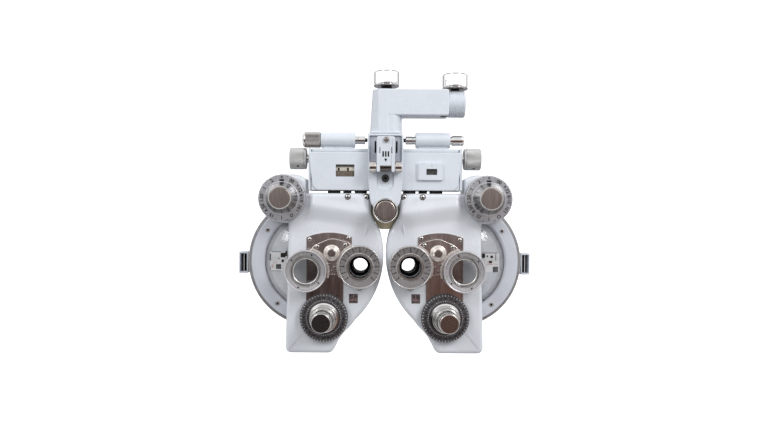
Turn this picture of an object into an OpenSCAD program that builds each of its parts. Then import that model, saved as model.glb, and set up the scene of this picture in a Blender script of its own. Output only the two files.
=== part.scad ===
// Manual phoropter, hung from a stand arm. Millimetres, +Z up, examiner's side towards -Y.
// The origin is the mouth of the arm's socket. Each head is laid out from its own sight axis,
// at the front face of its casing, with u running outwards from the instrument's mid-plane.

/* [Sight lines] */
// Distance between the two sight axes as stored
pupil_distance = 48.6; // [48.6:0.2:56]
// Radius of the clear sight hole
sight_r = 7.4; // [6.4:0.1:7.8]
// Radius of one trial lens in a lens disc
lens_r = 8.6; // [8.2:0.1:9]
// Thickness of one trial lens
lens_t = 1.6; // [1:0.1:2]
// Lenses round each disc
lens_count = 12; // [8:1:13]

/* [Head casing] */
// Height of the casing's top edge above the sight axis
casing_top = 71.3; // [70:0.1:72]
// Depth of the casing's foot below the sight axis
casing_foot = 86.1; // [84:0.1:92]
// Outer edge of the casing from the sight axis
casing_out = 71; // [68:0.1:74]
// Further reach of the foot past the casing's outer edge
foot_flare = 2.1; // [0:0.1:4]
// Radius of the long inner curve of the casing
cheek_r = 88; // [86:0.1:88]
// Reach of the inner curve past the sight axis, towards the nose
nose_reach = 23.1; // [22:0.1:23.1]
// Centre of the inner curve above the sight axis
cheek_z = 10.7; // [9:0.1:12]
// Depth of the front cover
cover_depth = 26; // [26:0.1:30]
// Depth of the rear cover
rear_depth = 18; // [17:0.1:24]
// Wall of both covers
casing_wall = 2.5; // [2:0.1:3]
// Radius of the round ear that carries the auxiliary dial
ear_r = 24.3; // [24:0.1:25]

/* [Sphere drum] */
// Drum centre outwards of the sight axis
drum_u = 46.6; // [46:0.1:47]
// Drum centre above the sight axis
drum_z = 4.1; // [3:0.1:5]
// Radius over the knurled rim of the sphere wheel
wheel_r = 65.6; // [65:0.1:66]
// How far the knurled rim stands past the white ring in front of it
rim_step = 4; // [3.6:0.1:4.6]
// Width of the white ring round the recess of the clear window
ring_w = 13.6; // [13:0.1:14.2]
// Radius of the axle that all lens discs turn on
axle_r = 5; // [4:0.1:7]

/* [Auxiliary dial] */
// Dial centre outwards of the sight axis
aux_u = 75.9; // [75:0.1:76.5]
// Dial centre above the sight axis
aux_z = 65.8; // [65:0.1:66.5]
// Radius of the marked disc
aux_r = 23; // [22:0.1:24]
// Radius of its round cap
aux_cap_r = 10.9; // [10:0.1:12]

/* [Cylinder dial] */
// Dial centre outwards of the sight axis
cyl_u = 34.9; // [34:0.1:36]
// Dial centre below the sight axis
cyl_z = 50.4; // [50:0.1:51]
// Radius of the axis ring
axis_r = 23.5; // [23:0.1:24]
// Radius of the power knob's cap
cyl_cap_r = 9.2; // [8:0.1:10]
// Reach of the power knob in front of the casing
cyl_reach = 48; // [44:0.1:52]

/* [Turret] */
// Turret pivot outwards of the sight axis
turret_u = 27.2; // [27:0.1:27.6]
// Turret pivot above the sight axis
turret_z = 13.1; // [12.6:0.1:13.4]
// Angle between the two lens units about the pivot
turret_angle = 119; // [118:0.5:122]
// Radius of the rotary prism unit
prism_r = 20.5; // [20:0.1:21]
// Radius of the cross cylinder unit
cross_r = 20.1; // [19.5:0.1:20.6]
// Radius of the glass in the cross cylinder
cross_glass_r = 11; // [9:0.1:12]
// Front face of both units, ahead of the casing
unit_front = 22; // [21:0.1:26]

/* [Crossbar] */
// Half length of the crossbar along its top
bar_half = 75.4; // [75:0.1:78]
// Top of the crossbar's front covers above the sight axis
bar_top = 111.5; // [111:0.1:113]
// Underside of the crossbar above the sight axis
bar_low = 74.1; // [73.8:0.1:75]
// Depth of the crossbar behind the casing's front face
bar_back = 22; // [22:0.1:26]
// Radius of the two pupil distance knobs
pd_knob_r = 10.7; // [10:0.1:10.9]
// Length of one pupil distance knob
pd_knob_l = 16.6; // [14:0.1:20]
// Radius of the white levelling sleeves
sleeve_r = 7.7; // [7:0.1:7.9]
// Radius of the levelling rods
rod_r = 4.1; // [3:0.1:5]

/* [Hanger and arm] */
// Half width of the hanger at its top
hanger_half = 17.4; // [17:0.1:18]
// Front face of the hanger, ahead of the casing
hanger_front = 11; // [11:0.1:13]
// Width of the support arm from front to back
arm_depth = 27; // [26:0.1:30]
// Height of the support arm
arm_h = 25.4; // [24:0.1:28]
// Top of the support arm above the sight axis
arm_top = 172.5; // [170:0.1:180]
// Reach of the arm from the mid-plane to the mouth of its socket
arm_reach = 77.8; // [70:0.1:100]
// Radius of the socket for the stand's post
socket_r = 8; // [6:0.1:9.5]
// Depth of the socket
socket_l = 24; // [20:0.1:28]
// Radius of the round collar
collar_r = 13.2; // [13:0.1:14]
// Radius of the two clamp knobs
clamp_r = 12.6; // [10:0.1:14]
// Height of the two clamp knobs
clamp_h = 15.4; // [12:0.1:18]

/* [Forehead rest] */
// Height of the forehead knob's axis above the sight axis
brow_z = 54; // [53:0.1:55]
// Radius of the forehead knob
brow_r = 11.8; // [10:0.1:12.4]
// Half width of the forehead pad
brow_half = 26; // [20:0.1:30]

/* [Hidden] */
$fn = 96;
cut = 1;
run_gap = 0.05;
air_gap = 0.3;
eye_u = pupil_distance / 2;
cheek_u = cheek_r - nose_reach;
ring_r = wheel_r - rim_step;
window_r = ring_r - ring_w;
level_y = 5;
arm_y = 4;
column_x = 0.8;
lens_ring = norm([drum_u, drum_z]);
lens_turn = atan2(-drum_z, -drum_u);

white = [0.87, 0.89, 0.93];
steel = [0.66, 0.65, 0.66];
chrome = [0.86, 0.86, 0.88];
dark = [0.2, 0.2, 0.21];
mirror_brown = [0.46, 0.4, 0.38];
glass = [0.8, 0.86, 0.88, 0.4];

// Layers through a head, from front to back
ring_front = 8;
ring_t = 4;
disc_t = 2.4;
gear_t = 2.7;
gear_front = ring_front + ring_t + 2 * air_gap;
cyl_front = gear_front + gear_t + air_gap;
wheel_front = cyl_front + disc_t + cut;
aux_front = cover_depth + cut;
disc_r = lens_ring + lens_r + 2;
rim_l = cover_depth - wheel_front;
back_y = cover_depth + rear_depth;
hub_teeth = 32;
pinion_teeth = 16;
gear_span = norm([drum_u - cyl_u, drum_z + cyl_z]);
hub_gear_r = gear_span * hub_teeth / (hub_teeth + pinion_teeth);
pinion_r = gear_span * pinion_teeth / (hub_teeth + pinion_teeth);
pinion_pocket_r = pinion_r + PI * pinion_r / pinion_teeth;
pocket_r = wheel_r + 1.4;

// Corners of the casing's outline, from the sight axis
shoulder_u = -9.9;
shoulder_z = 51.1;
jaw_u = 8.1;
jaw_z = -59.4;
knee_u = 17.2;
knee_z = -68.2;
toe_u = 27.8;
corner_r = 6.5;
ear_shift = 8.2;
cheek_top = 34.9;

// Places on the casing
cover_screw_shares = [[0.1725, 0.948], [-0.0813, 0.948]];
plate_screw_shares = [[0.732, 0.431], [-0.527, 0.474]];
turret_screw_shares = [[0.464, 0.195], [-0.434, 0.258]];
ring_screw_turns = [34.3, -50.1];
screw_r = 2.6;
screw_t = 1;
small_screw_r = 1.9;
sight_u = 114.1;
sight_w = 9.3;
sight_h = 21.9;
sight_low = -9.4;

// Crossbar and levelling
pivot_z = 85.5;
pivot_r = 5;
level_z = 124;
sleeve_in = 29.7;
sleeve_inset = 11.8;
sleeve_out = bar_half - sleeve_inset;
rod_in = 19.4;
tip_r = 2.2;
pd_drop = 5.8;
pd_z = bar_top - pd_drop;
pd_y = 9;
pd_screw_r = 4;
rail_z = 88;
rail_y = 13;
rail_r = 4.5;
bar_front = -4;
cover_t = 2.5;
spine_top = bar_top + 4;
core_half = 13;
end_inset = 2.4;
bar_end = bar_half - end_inset;

// Hanger
hanger_t = 5.5;
hanger_top = 128.9;
saddle_low = 117.6;
lobe_r = 13.4;
hinge_z = 96;
hinge_y = -19;
hinge_r = 5.5;
hinge_pin_r = 2.5;
holder_half = 8.7;
spindle_r = 7;
brow_clear_r = 6.2;
brow_shaft_r = 3;
brow_stem_r = 6.5;
brow_front = 26;
collar_end = 62;
column_half = 14.3;
column_low = 15.9;

// Drawing helpers

module rod_y(r, y0, y1, u = 0, z = 0) {
    translate([u, y0, z]) rotate([-90, 0, 0]) cylinder(r = r, h = y1 - y0);
}

module rod_x(r, x0, x1, y, z) {
    translate([x0, y, z]) rotate([0, 90, 0]) cylinder(r = r, h = x1 - x0);
}

module cone_y(r0, r1, y0, y1, u = 0, z = 0) {
    translate([u, y0, z]) rotate([-90, 0, 0]) cylinder(r1 = r0, r2 = r1, h = y1 - y0);
}

module slab(y0, y1) {
    translate([0, y1, 0]) rotate([90, 0, 0]) linear_extrude(y1 - y0) children();
}

module block(x0, x1, y0, y1, z0, z1) {
    translate([x0, y0, z0]) cube([x1 - x0, y1 - y0, z1 - z0]);
}

// From the mid-plane frame to the socket frame
module placed() {
    translate([-arm_reach, -arm_y, -(arm_top - arm_h / 2)]) children();
}

// From one head's own frame to the socket frame, side is -1 left and 1 right
module on_head(side) {
    placed() mirror([side > 0 ? 0 : 1, 0, 0]) translate([eye_u, 0, 0]) children();
}

// Support arm

module arm_profile() {
    round_r = arm_depth / 6;
    translate([-arm_depth / 2 + round_r, -arm_h / 2]) square([arm_depth - 2 * round_r, arm_h]);
    translate([-arm_depth / 2, -arm_h / 2 + round_r]) square([arm_depth, arm_h - 2 * round_r]);
    for (side_share = [-1, 1], rise_share = [-1, 1]) {
        translate([side_share * (arm_depth / 2 - round_r), rise_share * (arm_h / 2 - round_r)])
            circle(r = round_r);
    }
}

module column_profile(half) {
    round_r = half / 2.2;
    back = arm_depth / 2;
    difference() {
        translate([column_x - half, arm_y - back]) square([2 * half, 2 * back]);
        for (side_share = [-1, 1]) {
            translate([column_x + side_share * half, arm_y - back]) circle(r = round_r / 3);
        }
    }
    for (side_share = [-1, 1]) {
        translate([column_x + side_share * (half - round_r / 1.5), arm_y - back + round_r / 1.5])
            circle(r = round_r / 1.5);
    }
}

module support_arm() {
    arm_z = arm_top - arm_h / 2;
    fillet = arm_h / 4;
    bottom = hanger_top + air_gap;
    color(white) placed() difference() {
        union() {
            translate([column_x, arm_y, arm_z]) rotate([90, 0, 90])
                linear_extrude(collar_end - column_x) arm_profile();
            translate([0, 0, bottom]) linear_extrude(arm_top - bottom)
                column_profile(column_half);
            translate([0, 0, bottom]) linear_extrude((arm_top - bottom) / 3)
                column_profile(column_low);
            difference() {
                block(column_x + column_half - cut, column_x + column_half + fillet,
                    arm_y - arm_depth / 2 + fillet, arm_y + arm_depth / 2 - fillet,
                    arm_top - arm_h - fillet, arm_top - arm_h + cut);
                translate([column_x + column_half + fillet, arm_y, arm_top - arm_h - fillet])
                    rotate([90, 0, 0]) cylinder(r = fillet, h = arm_depth, center = true);
            }
        }
        translate([column_x, arm_y, bottom - cut])
            cylinder(r = spindle_r + run_gap, h = arm_top - bottom + 2 * cut);
        rod_x(collar_r * 0.8, arm_reach - socket_l, collar_end + cut, arm_y, arm_z);
        translate([0.74 * arm_reach, arm_y, arm_top - arm_h - cut])
            cylinder(r = arm_h / 8, h = arm_h / 10 + cut);
    }
}

module stand_collar() {
    arm_z = arm_top - arm_h / 2;
    rib = (arm_reach - collar_end) / 9;
    color(white) placed() difference() {
        union() {
            rod_x(collar_r * 0.97, collar_end, arm_reach, arm_y, arm_z);
            for (i = [0:3]) {
                rod_x(collar_r, collar_end + 2 * i * rib + rib, collar_end + 2 * (i + 1) * rib,
                    arm_y, arm_z);
            }
            rod_x(collar_r * 0.8, arm_reach - socket_l, collar_end + rib, arm_y, arm_z);
        }
        rod_x(socket_r, arm_reach - socket_l - cut, arm_reach + cut, arm_y, arm_z);
        translate([clamp_x(), arm_y, arm_z])
            cylinder(r = clamp_r / 4 + run_gap, h = collar_r + cut);
    }
}

function clamp_x() = (collar_end + arm_reach) / 2 - clamp_r / 8;

module clamp_knob(stem_l) {
    rim = clamp_h / 7;
    translate([0, 0, rim]) cylinder(r = clamp_r * 0.97, h = clamp_h - 2 * rim);
    cylinder(r = clamp_r, h = rim);
    translate([0, 0, clamp_h - rim]) cylinder(r1 = clamp_r, r2 = clamp_r * 0.93, h = rim);
    translate([0, 0, -stem_l]) cylinder(r = clamp_r / 4, h = stem_l + cut);
}

module column_knob() {
    neck = clamp_h / 4;
    color(chrome) placed() translate([column_x, arm_y, arm_top + neck]) {
        clamp_knob(neck + clamp_h / 3);
        translate([0, 0, -neck + air_gap]) cylinder(r = clamp_r / 2, h = neck);
    }
}

module collar_knob() {
    arm_z = arm_top - arm_h / 2;
    neck = clamp_h / 8;
    seat = arm_z + collar_r + air_gap;
    color(chrome) placed() translate([clamp_x(), arm_y, seat + neck]) {
        clamp_knob(seat + neck - arm_z - socket_r - air_gap);
        translate([0, 0, -neck]) cylinder(r = clamp_r / 3, h = neck + cut);
    }
}

// Hanger, the long tapered plate that the crossbar tilts on

module hanger_outline() {
    polygon([
        [-hanger_half, hanger_top],
        [-hanger_half, pivot_z],
        [-lobe_r, brow_z + lobe_r / 4],
        [-0.7 * lobe_r, brow_z - 0.6 * lobe_r],
        [0.7 * lobe_r, brow_z - 0.6 * lobe_r],
        [lobe_r, brow_z + lobe_r / 4],
        [hanger_half, pivot_z],
        [hanger_half, hanger_top]
    ]);
    translate([0, brow_z]) circle(r = lobe_r);
}

module hanger() {
    back = arm_y + arm_depth / 2;
    slot_half = hanger_half / 14;
    slot_x = 0.57 * hanger_half;
    slot_l = 0.71 * hanger_half;
    slot_z = saddle_low - slot_l / 4;
    color(white) placed() {
        difference() {
            union() {
                slab(-hanger_front, -hanger_front + hanger_t) hanger_outline();
                block(-hanger_half, hanger_half, -hanger_front, back, saddle_low, hanger_top);
            }
            rod_y(brow_clear_r, -hanger_front - cut, 0, 0, brow_z);
            rod_y(pivot_r, -hanger_front - cut, 0, 0, pivot_z);
            translate([column_x, arm_y, saddle_low - cut])
                cylinder(r = spindle_r, h = hanger_top - saddle_low + 2 * cut);
            for (s = [-1, 1]) {
                block(s * slot_x - slot_half, s * slot_x + slot_half,
                    -hanger_front - cut, -hanger_front + hanger_t / 3,
                    slot_z - slot_l / 2, slot_z + slot_l / 2);
            }
            rod_y(2.2 * pivot_r, -hanger_front - cut, -hanger_front + hanger_t / 5, 0, pivot_z - cut);
        }
        // Lugs for the hinge of the rod holder
        difference() {
            for (s = [-1, 1]) {
                block(s * (holder_half + hinge_r * 0.7) - hinge_r / 2,
                    s * (holder_half + hinge_r * 0.7) + hinge_r / 2,
                    hinge_y, -hanger_front, hinge_z - hinge_r / 1.2, hinge_z + hinge_r / 1.2);
            }
            rod_x(hinge_r, -hanger_half, hanger_half, hinge_y, hinge_z);
        }
        // Spindle that turns in the column
        translate([column_x, arm_y, saddle_low])
            difference() {
                cylinder(r = spindle_r, h = arm_top - saddle_low - air_gap);
                translate([0, 0, arm_top - saddle_low - air_gap - clamp_h / 2])
                    cylinder(r = clamp_r / 4 + run_gap, h = clamp_h);
            }
        // Journal that the crossbar tilts on
        rod_y(pivot_r, -hanger_front - pivot_r / 4, bar_back - cover_t - 2 * air_gap, 0, pivot_z);
        rod_y(0.76 * pivot_r, -hanger_front - pivot_r / 2, -hanger_front, 0, pivot_z);
    }
}

module hinge_pin() {
    color(chrome) placed() {
        rod_x(hinge_pin_r, -hanger_half, hanger_half, hinge_y, hinge_z);
        for (s = [-1, 1]) {
            rod_x(hinge_r, s > 0 ? holder_half + air_gap : -hanger_half + run_gap,
                s > 0 ? hanger_half - run_gap : -holder_half - air_gap, hinge_y, hinge_z);
        }
    }
}

module rod_holder() {
    plate_t = hinge_r / 2;
    front = hinge_y - 0.9 * hinge_r;
    top = hinge_z + 5.2 * hinge_r;
    prong = holder_half / 2.6;
    color(white) placed() difference() {
        union() {
            block(-holder_half, holder_half, front, front + plate_t, hinge_z, top);
            for (s = [-1, 1]) {
                block(s > 0 ? holder_half - prong : -holder_half,
                    s > 0 ? holder_half : -holder_half + prong,
                    front, hinge_y + hinge_r, hinge_z - hinge_r, hinge_z + hinge_r);
            }
            rod_x(hinge_r * 0.86, -holder_half + cut, holder_half - cut, hinge_y, hinge_z);
            rod_y(prong * 0.7, front - plate_t, front + plate_t, 0, top - prong);
        }
        rod_x(hinge_pin_r + run_gap, -holder_half - cut, holder_half + cut, hinge_y, hinge_z);
    }
}

// Crossbar

module bar_outline(low_half) {
    corner = (bar_top - bar_low) / 9;
    polygon([
        [-bar_half, bar_top],
        [-low_half, bar_low + corner],
        [-low_half + corner, bar_low],
        [low_half - corner, bar_low],
        [low_half, bar_low + corner],
        [bar_half, bar_top]
    ]);
}

module crossbar() {
    web = casing_wall;
    low_half = bar_half - (bar_top - bar_low) / 9;
    inner_y = bar_front + cover_t;
    color(white) placed() {
        difference() {
            union() {
                block(-bar_half + web, bar_half - web, inner_y + web, bar_back, bar_top, spine_top);
                block(-bar_end, bar_end, bar_back - web, bar_back, bar_low, spine_top);
                block(-core_half, core_half, inner_y, bar_back, bar_low, spine_top);
                for (s = [-1, 1]) {
                    block(s > 0 ? bar_end : -bar_end - web, s > 0 ? bar_end + web : -bar_end,
                        inner_y, bar_back, bar_low, spine_top);
                    // Seat of a levelling sleeve
                    block(s > 0 ? sleeve_in + web : -sleeve_out + web,
                        s > 0 ? sleeve_out - web : -sleeve_in - web,
                        level_y - sleeve_r / 2, level_y + sleeve_r / 2,
                        spine_top - cut, level_z - sleeve_r / 2);
                    rod_x(sleeve_r, s > 0 ? sleeve_in : -sleeve_out,
                        s > 0 ? sleeve_out : -sleeve_in, level_y, level_z);
                }
            }
            rod_x(rod_r + run_gap, -sleeve_out - cut, sleeve_out + cut, level_y, level_z);
            rod_y(pivot_r + run_gap, inner_y - cut, bar_back + cut, 0, pivot_z);
            rod_x(pd_screw_r + run_gap, -bar_half - cut, bar_half + cut, pd_y, pd_z);
        }
        for (s = [-1, 1]) {
            rod_x(rail_r, s > 0 ? core_half - web : -bar_end - web / 2,
                s > 0 ? bar_end + web / 2 : -core_half + web, rail_y, rail_z);
        }
    }
}

vial_x = [-48.5, -30.3];
vial_z = [87.4, 99.3];
scale_x = [32.8, 56.7];
scale_z = [83.8, 99.8];
scale_gap = 5.3;

module crossbar_covers() {
    low_half = bar_half - (bar_top - bar_low) / 9;
    boss = -bar_front * 0.8;
    color(white) placed() difference() {
        union() {
            slab(bar_front, bar_front + cover_t) bar_outline(low_half);
            slab(bar_front - boss, bar_front) polygon([
                [scale_x[0], scale_z[0]], [scale_x[1], scale_z[0]],
                [scale_x[1], scale_z[1]], [scale_x[0], scale_z[1]]
            ]);
        }
        block(vial_x[0], vial_x[1], bar_front - cut, bar_front + cover_t + cut, vial_z[0], vial_z[1]);
        block(scale_x[0] + 1.36 * scale_gap, scale_x[1] - 1.22 * scale_gap,
            bar_front - boss - cut, bar_front + cover_t + cut,
            scale_z[0] + 1.1 * scale_gap, scale_z[1] - 0.92 * scale_gap);
        rod_y(pivot_r + 2 * air_gap, bar_front - cut, bar_front + cover_t + cut, 0, pivot_z);
        block(-core_half - air_gap, core_half + air_gap, bar_front - boss, bar_front + cover_t / 4,
            bar_low - cut, bar_top + cut);
    }
}

module crossbar_windows() {
    seat = bar_front + cover_t;
    vial_r = (vial_z[1] - vial_z[0]) / 3.2;
    color(glass) placed() {
        // Spirit level in its cradle
        rod_x(vial_r, vial_x[0] - cut, vial_x[1] + cut, seat + vial_r + air_gap,
            (vial_z[0] + vial_z[1]) / 2 + vial_r / 4);
        block(vial_x[0] - cut, vial_x[1] + cut, seat, seat + vial_r,
            vial_z[0] - cut, vial_z[0] + vial_r / 1.2);
        // Pane over the pupil distance scale
        block(scale_x[0] + scale_gap, scale_x[1] - scale_gap, seat, seat + cover_t / 2,
            scale_z[0] + scale_gap / 1.2, scale_z[1] - scale_gap / 1.4);
    }
}

module level_knob() {
    color(steel) placed() {
        rod_x(sleeve_r, -sleeve_out - 2.35 * sleeve_r, -sleeve_out - air_gap, level_y, level_z);
        rod_x(rod_r, -sleeve_out - cut, -(sleeve_in + sleeve_out) / 2, level_y, level_z);
    }
}

module level_rod() {
    middle = -(sleeve_in + sleeve_out) / 2;
    color(chrome) placed() {
        rod_x(rod_r, middle + rod_r / 2 + air_gap, -rod_in, level_y, level_z);
        rod_x(tip_r, -rod_in - cut, -hanger_half - air_gap, level_y, level_z);
    }
}

module level_plunger() {
    color(chrome) placed() {
        rod_x(tip_r, hanger_half + air_gap, rod_in + cut, level_y, level_z);
        rod_x(rod_r, rod_in, sleeve_out + rod_r, level_y, level_z);
        rod_x(0.68 * sleeve_r, sleeve_out + rod_r / 2, sleeve_out + 3.4 * rod_r, level_y, level_z);
    }
}

module pd_screw() {
    knob_in = bar_half + cover_t;
    color(steel) placed() {
        rod_x(pd_screw_r, -knob_in - cut, knob_in + cut, pd_y, pd_z);
        for (s = [-1, 1]) {
            rod_x(pd_knob_r, s > 0 ? knob_in : -knob_in - pd_knob_l,
                s > 0 ? knob_in + pd_knob_l : -knob_in, pd_y, pd_z);
        }
    }
}

// Carriages, one for each head, that run along the crossbar

carriage_out = 32.7;
stop_w = 11.6;
block_lift = 6;

module carriage(side) {
    foot_r = axle_r + casing_wall / 3;
    color(dark) on_head(side) difference() {
        union() {
            block(-foot_r * 1.4, carriage_out, rail_y - block_lift,
                bar_back - casing_wall - 2 * air_gap, bar_low + block_lift, bar_top - 2 * air_gap);
            block(-foot_r * 1.4, carriage_out, 3 * air_gap, rail_y,
                pd_z - 1.5 * pd_screw_r, bar_top - 2 * air_gap);
            translate([0, level_y, casing_top + air_gap])
                cylinder(r = foot_r, h = bar_low - casing_top + block_lift + cut);
            translate([0, level_y, casing_top - 3 * axle_r])
                cylinder(r = 0.7 * axle_r, h = 4 * axle_r);
            block(carriage_out - stop_w - cut, carriage_out - cut, 3 * air_gap, 2.3 * level_y,
                casing_top + 3 * air_gap, bar_low + block_lift + cut);
        }
        rod_x(rail_r + run_gap, -foot_r * 2, carriage_out + cut, rail_y, rail_z);
        rod_x(pd_screw_r + run_gap, -foot_r * 2, carriage_out + cut, pd_y, pd_z);
    }
}

// Forehead rest

module rest_bracket() {
    gap = 4 * air_gap;
    half = eye_u + shoulder_u - gap;
    color(mirror_brown) placed() difference() {
        union() {
            slab(level_y + cut, bar_back - casing_wall) polygon([
                [-half, bar_low],
                [-half, shoulder_z],
                [-half / 3.4, cheek_top + gap],
                [half / 3.4, cheek_top + gap],
                [half, shoulder_z],
                [half, bar_low]
            ]);
            rod_y(brow_r * 0.76, level_y + cut, back_y - 2 * cut, 0, brow_z);
        }
        rod_y(brow_stem_r + run_gap, bar_back - 2 * casing_wall, back_y + cut, 0, brow_z);
        rod_y(brow_shaft_r + run_gap, 0, back_y, 0, brow_z);
    }
}

module forehead_knob() {
    color(steel) placed() {
        rod_y(brow_r, -brow_front, -hanger_front - 4 * air_gap, 0, brow_z);
        rod_y(brow_shaft_r, -brow_front + cut, back_y - brow_r * 0.7, 0, brow_z);
    }
}

module forehead_rest() {
    pad_h = brow_r * 0.95;
    pad_y = back_y + brow_r / 4;
    bend_r = 3 * brow_half;
    color(white) placed() {
        difference() {
            rod_y(brow_stem_r, bar_back - casing_wall - cut, pad_y + cut, 0, brow_z);
            rod_y(brow_shaft_r + run_gap, 0, pad_y - cut, 0, brow_z);
        }
        translate([0, 0, brow_z - pad_h]) intersection() {
            translate([0, pad_y + bend_r, 0]) difference() {
                cylinder(r = bend_r, h = 2 * pad_h);
                translate([0, 0, -cut]) cylinder(r = bend_r - pad_h / 2, h = 2 * pad_h + 2 * cut);
            }
            translate([-brow_half, pad_y - cut, 0]) cube([2 * brow_half, brow_half, 2 * pad_h]);
        }
    }
}

// Head casings

// Edge of the round cheek at a height z
function cheek_edge(z) = cheek_u - sqrt(pow(cheek_r, 2) - pow(z - cheek_z, 2));

module casing_outline() {
    foot = -casing_foot;
    // Upper block
    polygon([
        [shoulder_u, casing_top],
        [shoulder_u, shoulder_z],
        [casing_out, cheek_top],
        [casing_out, casing_top]
    ]);
    // Round cheek, cut off along the line from the shoulder
    intersection() {
        translate([cheek_u, cheek_z]) circle(r = cheek_r);
        polygon([
            [shoulder_u, shoulder_z],
            [2 * cheek_edge(cheek_top) - shoulder_u, 2 * cheek_top - shoulder_z],
            [-cheek_r, jaw_z],
            [casing_out + foot_flare, jaw_z],
            [casing_out, drum_z],
            [casing_out, casing_top - cut]
        ]);
    }
    // Foot
    difference() {
        polygon([
            [jaw_u, jaw_z + cut],
            [jaw_u, jaw_z],
            [knee_u, knee_z],
            [toe_u - corner_r / 2.2, foot + corner_r / 1.6],
            [toe_u, foot],
            [casing_out + foot_flare, foot],
            [casing_out + foot_flare, jaw_z + cut]
        ]);
        translate([casing_out + foot_flare - corner_r, foot]) difference() {
            square([corner_r, corner_r]);
            translate([0, corner_r]) circle(r = corner_r);
        }
    }
    // Ear of the auxiliary dial, cut off beside the crossbar
    intersection() {
        union() {
            translate([aux_u, aux_z]) circle(r = ear_r);
            translate([aux_u - ear_shift, aux_z]) circle(r = ear_r);
            translate([aux_u - ear_shift, aux_z - ear_r]) square([ear_shift, 2 * ear_r]);
        }
        translate([bar_half + 7 * air_gap - eye_u, aux_z - ear_r])
            square([3 * ear_r, 2 * ear_r]);
    }
}

module drum_circle(r) {
    translate([drum_u, drum_z]) circle(r = r);
}

module front_cover(side) {
    shaft_r = aux_cap_r / 3;
    color(white) on_head(side) difference() {
        slab(0, cover_depth) casing_outline();
        rod_y(pocket_r, casing_wall, cover_depth + cut, drum_u, drum_z);
        rod_y(ear_r - casing_wall, casing_wall, cover_depth + cut, aux_u, aux_z);
        rod_y(pinion_pocket_r, casing_wall, cover_depth + cut, cyl_u, -cyl_z);
        rod_y(sight_r + casing_wall, -cut, 2 * casing_wall, 0, 0);
        rod_y(shaft_r + run_gap, -cut, 2 * casing_wall, aux_u, aux_z);
        rod_y(cyl_cap_r / 3 + run_gap, -cut, 2 * casing_wall, cyl_u, -cyl_z);
        rod_y(turret_pin_r + run_gap, -cut, 2 * casing_wall, turret_u, turret_z);
        // Convergence pivot
        translate([0, level_y, casing_top - 3 * axle_r - 2 * air_gap])
            cylinder(r = 0.7 * axle_r + run_gap, h = 4 * axle_r);
        // Window of the cylinder power
        block(power_u[0], power_u[1], -cut, casing_wall + cut, power_z[0], power_z[1]);
    }
}

power_u = [2, 10.7];
power_z = [-36.8, -27.5];
turret_pin_r = 4;

module rear_cover(side) {
    cavity_r = disc_r + casing_wall;
    color(white) on_head(side) {
        difference() {
            union() {
                slab(cover_depth, cover_depth + rear_depth * 0.45) casing_outline();
                slab(cover_depth, back_y) drum_circle(ring_r);
            }
            rod_y(cavity_r, cover_depth - cut, back_y - casing_wall, drum_u, drum_z);
            rod_y(sight_r, cover_depth, back_y + cut, 0, 0);
        }
        rod_y(axle_r, gear_front - air_gap, back_y - cut, drum_u, drum_z);
    }
}

module drum_ring(side) {
    land_r = ring_r - casing_wall;
    color(white) on_head(side) difference() {
        union() {
            rod_y(ring_r, ring_front, ring_front + ring_t, drum_u, drum_z);
            // Land against the casing's front wall
            slab(casing_wall, ring_front + cut) intersection() {
                drum_circle(land_r);
                translate([-cheek_r, -cheek_r])
                    square([cheek_r + casing_out - casing_wall, 2 * cheek_r]);
            }
            // Skirt that hides the discs outside the casing
            slab(ring_front, wheel_front - air_gap) intersection() {
                drum_circle(ring_r);
                translate([casing_out - casing_wall, -cheek_r]) square([cheek_r, 2 * cheek_r]);
            }
        }
        rod_y(window_r, 0, ring_front + ring_t + cut, drum_u, drum_z);
        rod_y(disc_r + 2 * air_gap, ring_front + ring_t, wheel_front, drum_u, drum_z);
        rod_y(sight_r + casing_wall, 0, ring_front + ring_t + cut, 0, 0);
        rod_y(cyl_cap_r / 3 + casing_wall / 2, 0, ring_front + ring_t + cut, cyl_u, -cyl_z);
    }
}

module drum_window(side) {
    bulge = ring_t;
    color(glass) on_head(side) difference() {
        union() {
            rod_y(window_r, ring_front + ring_t / 2, ring_front + ring_t, drum_u, drum_z);
            cone_y(window_r * 0.8, window_r * 0.98, ring_front, ring_front + ring_t / 2,
                drum_u, drum_z);
        }
        cone_y(window_r * 0.76, window_r * 0.92, ring_front + ring_t / 3,
            ring_front + ring_t + cut, drum_u, drum_z);
        rod_y(sight_r + casing_wall, 0, ring_front + ring_t + cut, 0, 0);
        rod_y(window_r * 0.3, 0, ring_front + ring_t + cut, drum_u, drum_z);
    }
}

// Lens discs

module lens_places(first = 0) {
    translate([drum_u, 0, drum_z]) for (i = [first:lens_count - 1]) {
        rotate([0, -lens_turn - i * 360 / lens_count, 0]) translate([lens_ring, 0, 0]) children();
    }
}

module lens_disc(front, hub_t) {
    difference() {
        union() {
            rod_y(disc_r, front, front + disc_t, drum_u, drum_z);
            rod_y(2 * axle_r, front, front + hub_t, drum_u, drum_z);
        }
        rod_y(axle_r + run_gap, front - cut, front + hub_t + cut, drum_u, drum_z);
        lens_places() rod_y(sight_r, front - cut, front + disc_t + cut);
    }
}

lens_seat = wheel_front + (disc_t - lens_t) / 2;

module sphere_wheel(side) {
    color(steel) on_head(side) difference() {
        union() {
            lens_disc(wheel_front, disc_t);
            difference() {
                rod_y(wheel_r, wheel_front, wheel_front + rim_l - air_gap, drum_u, drum_z);
                rod_y(disc_r, wheel_front - cut, wheel_front + rim_l, drum_u, drum_z);
            }
        }
        lens_places() rod_y(lens_r, lens_seat, lens_seat + lens_t);
    }
}

// The place on the sight axis is left open, for no power
module sphere_lenses(side) {
    color(glass) on_head(side) lens_places(1) rod_y(lens_r, lens_seat, lens_seat + lens_t);
}

module aux_disc(side) {
    color(dark) on_head(side) lens_disc(aux_front, rear_depth / 2);
}

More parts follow.
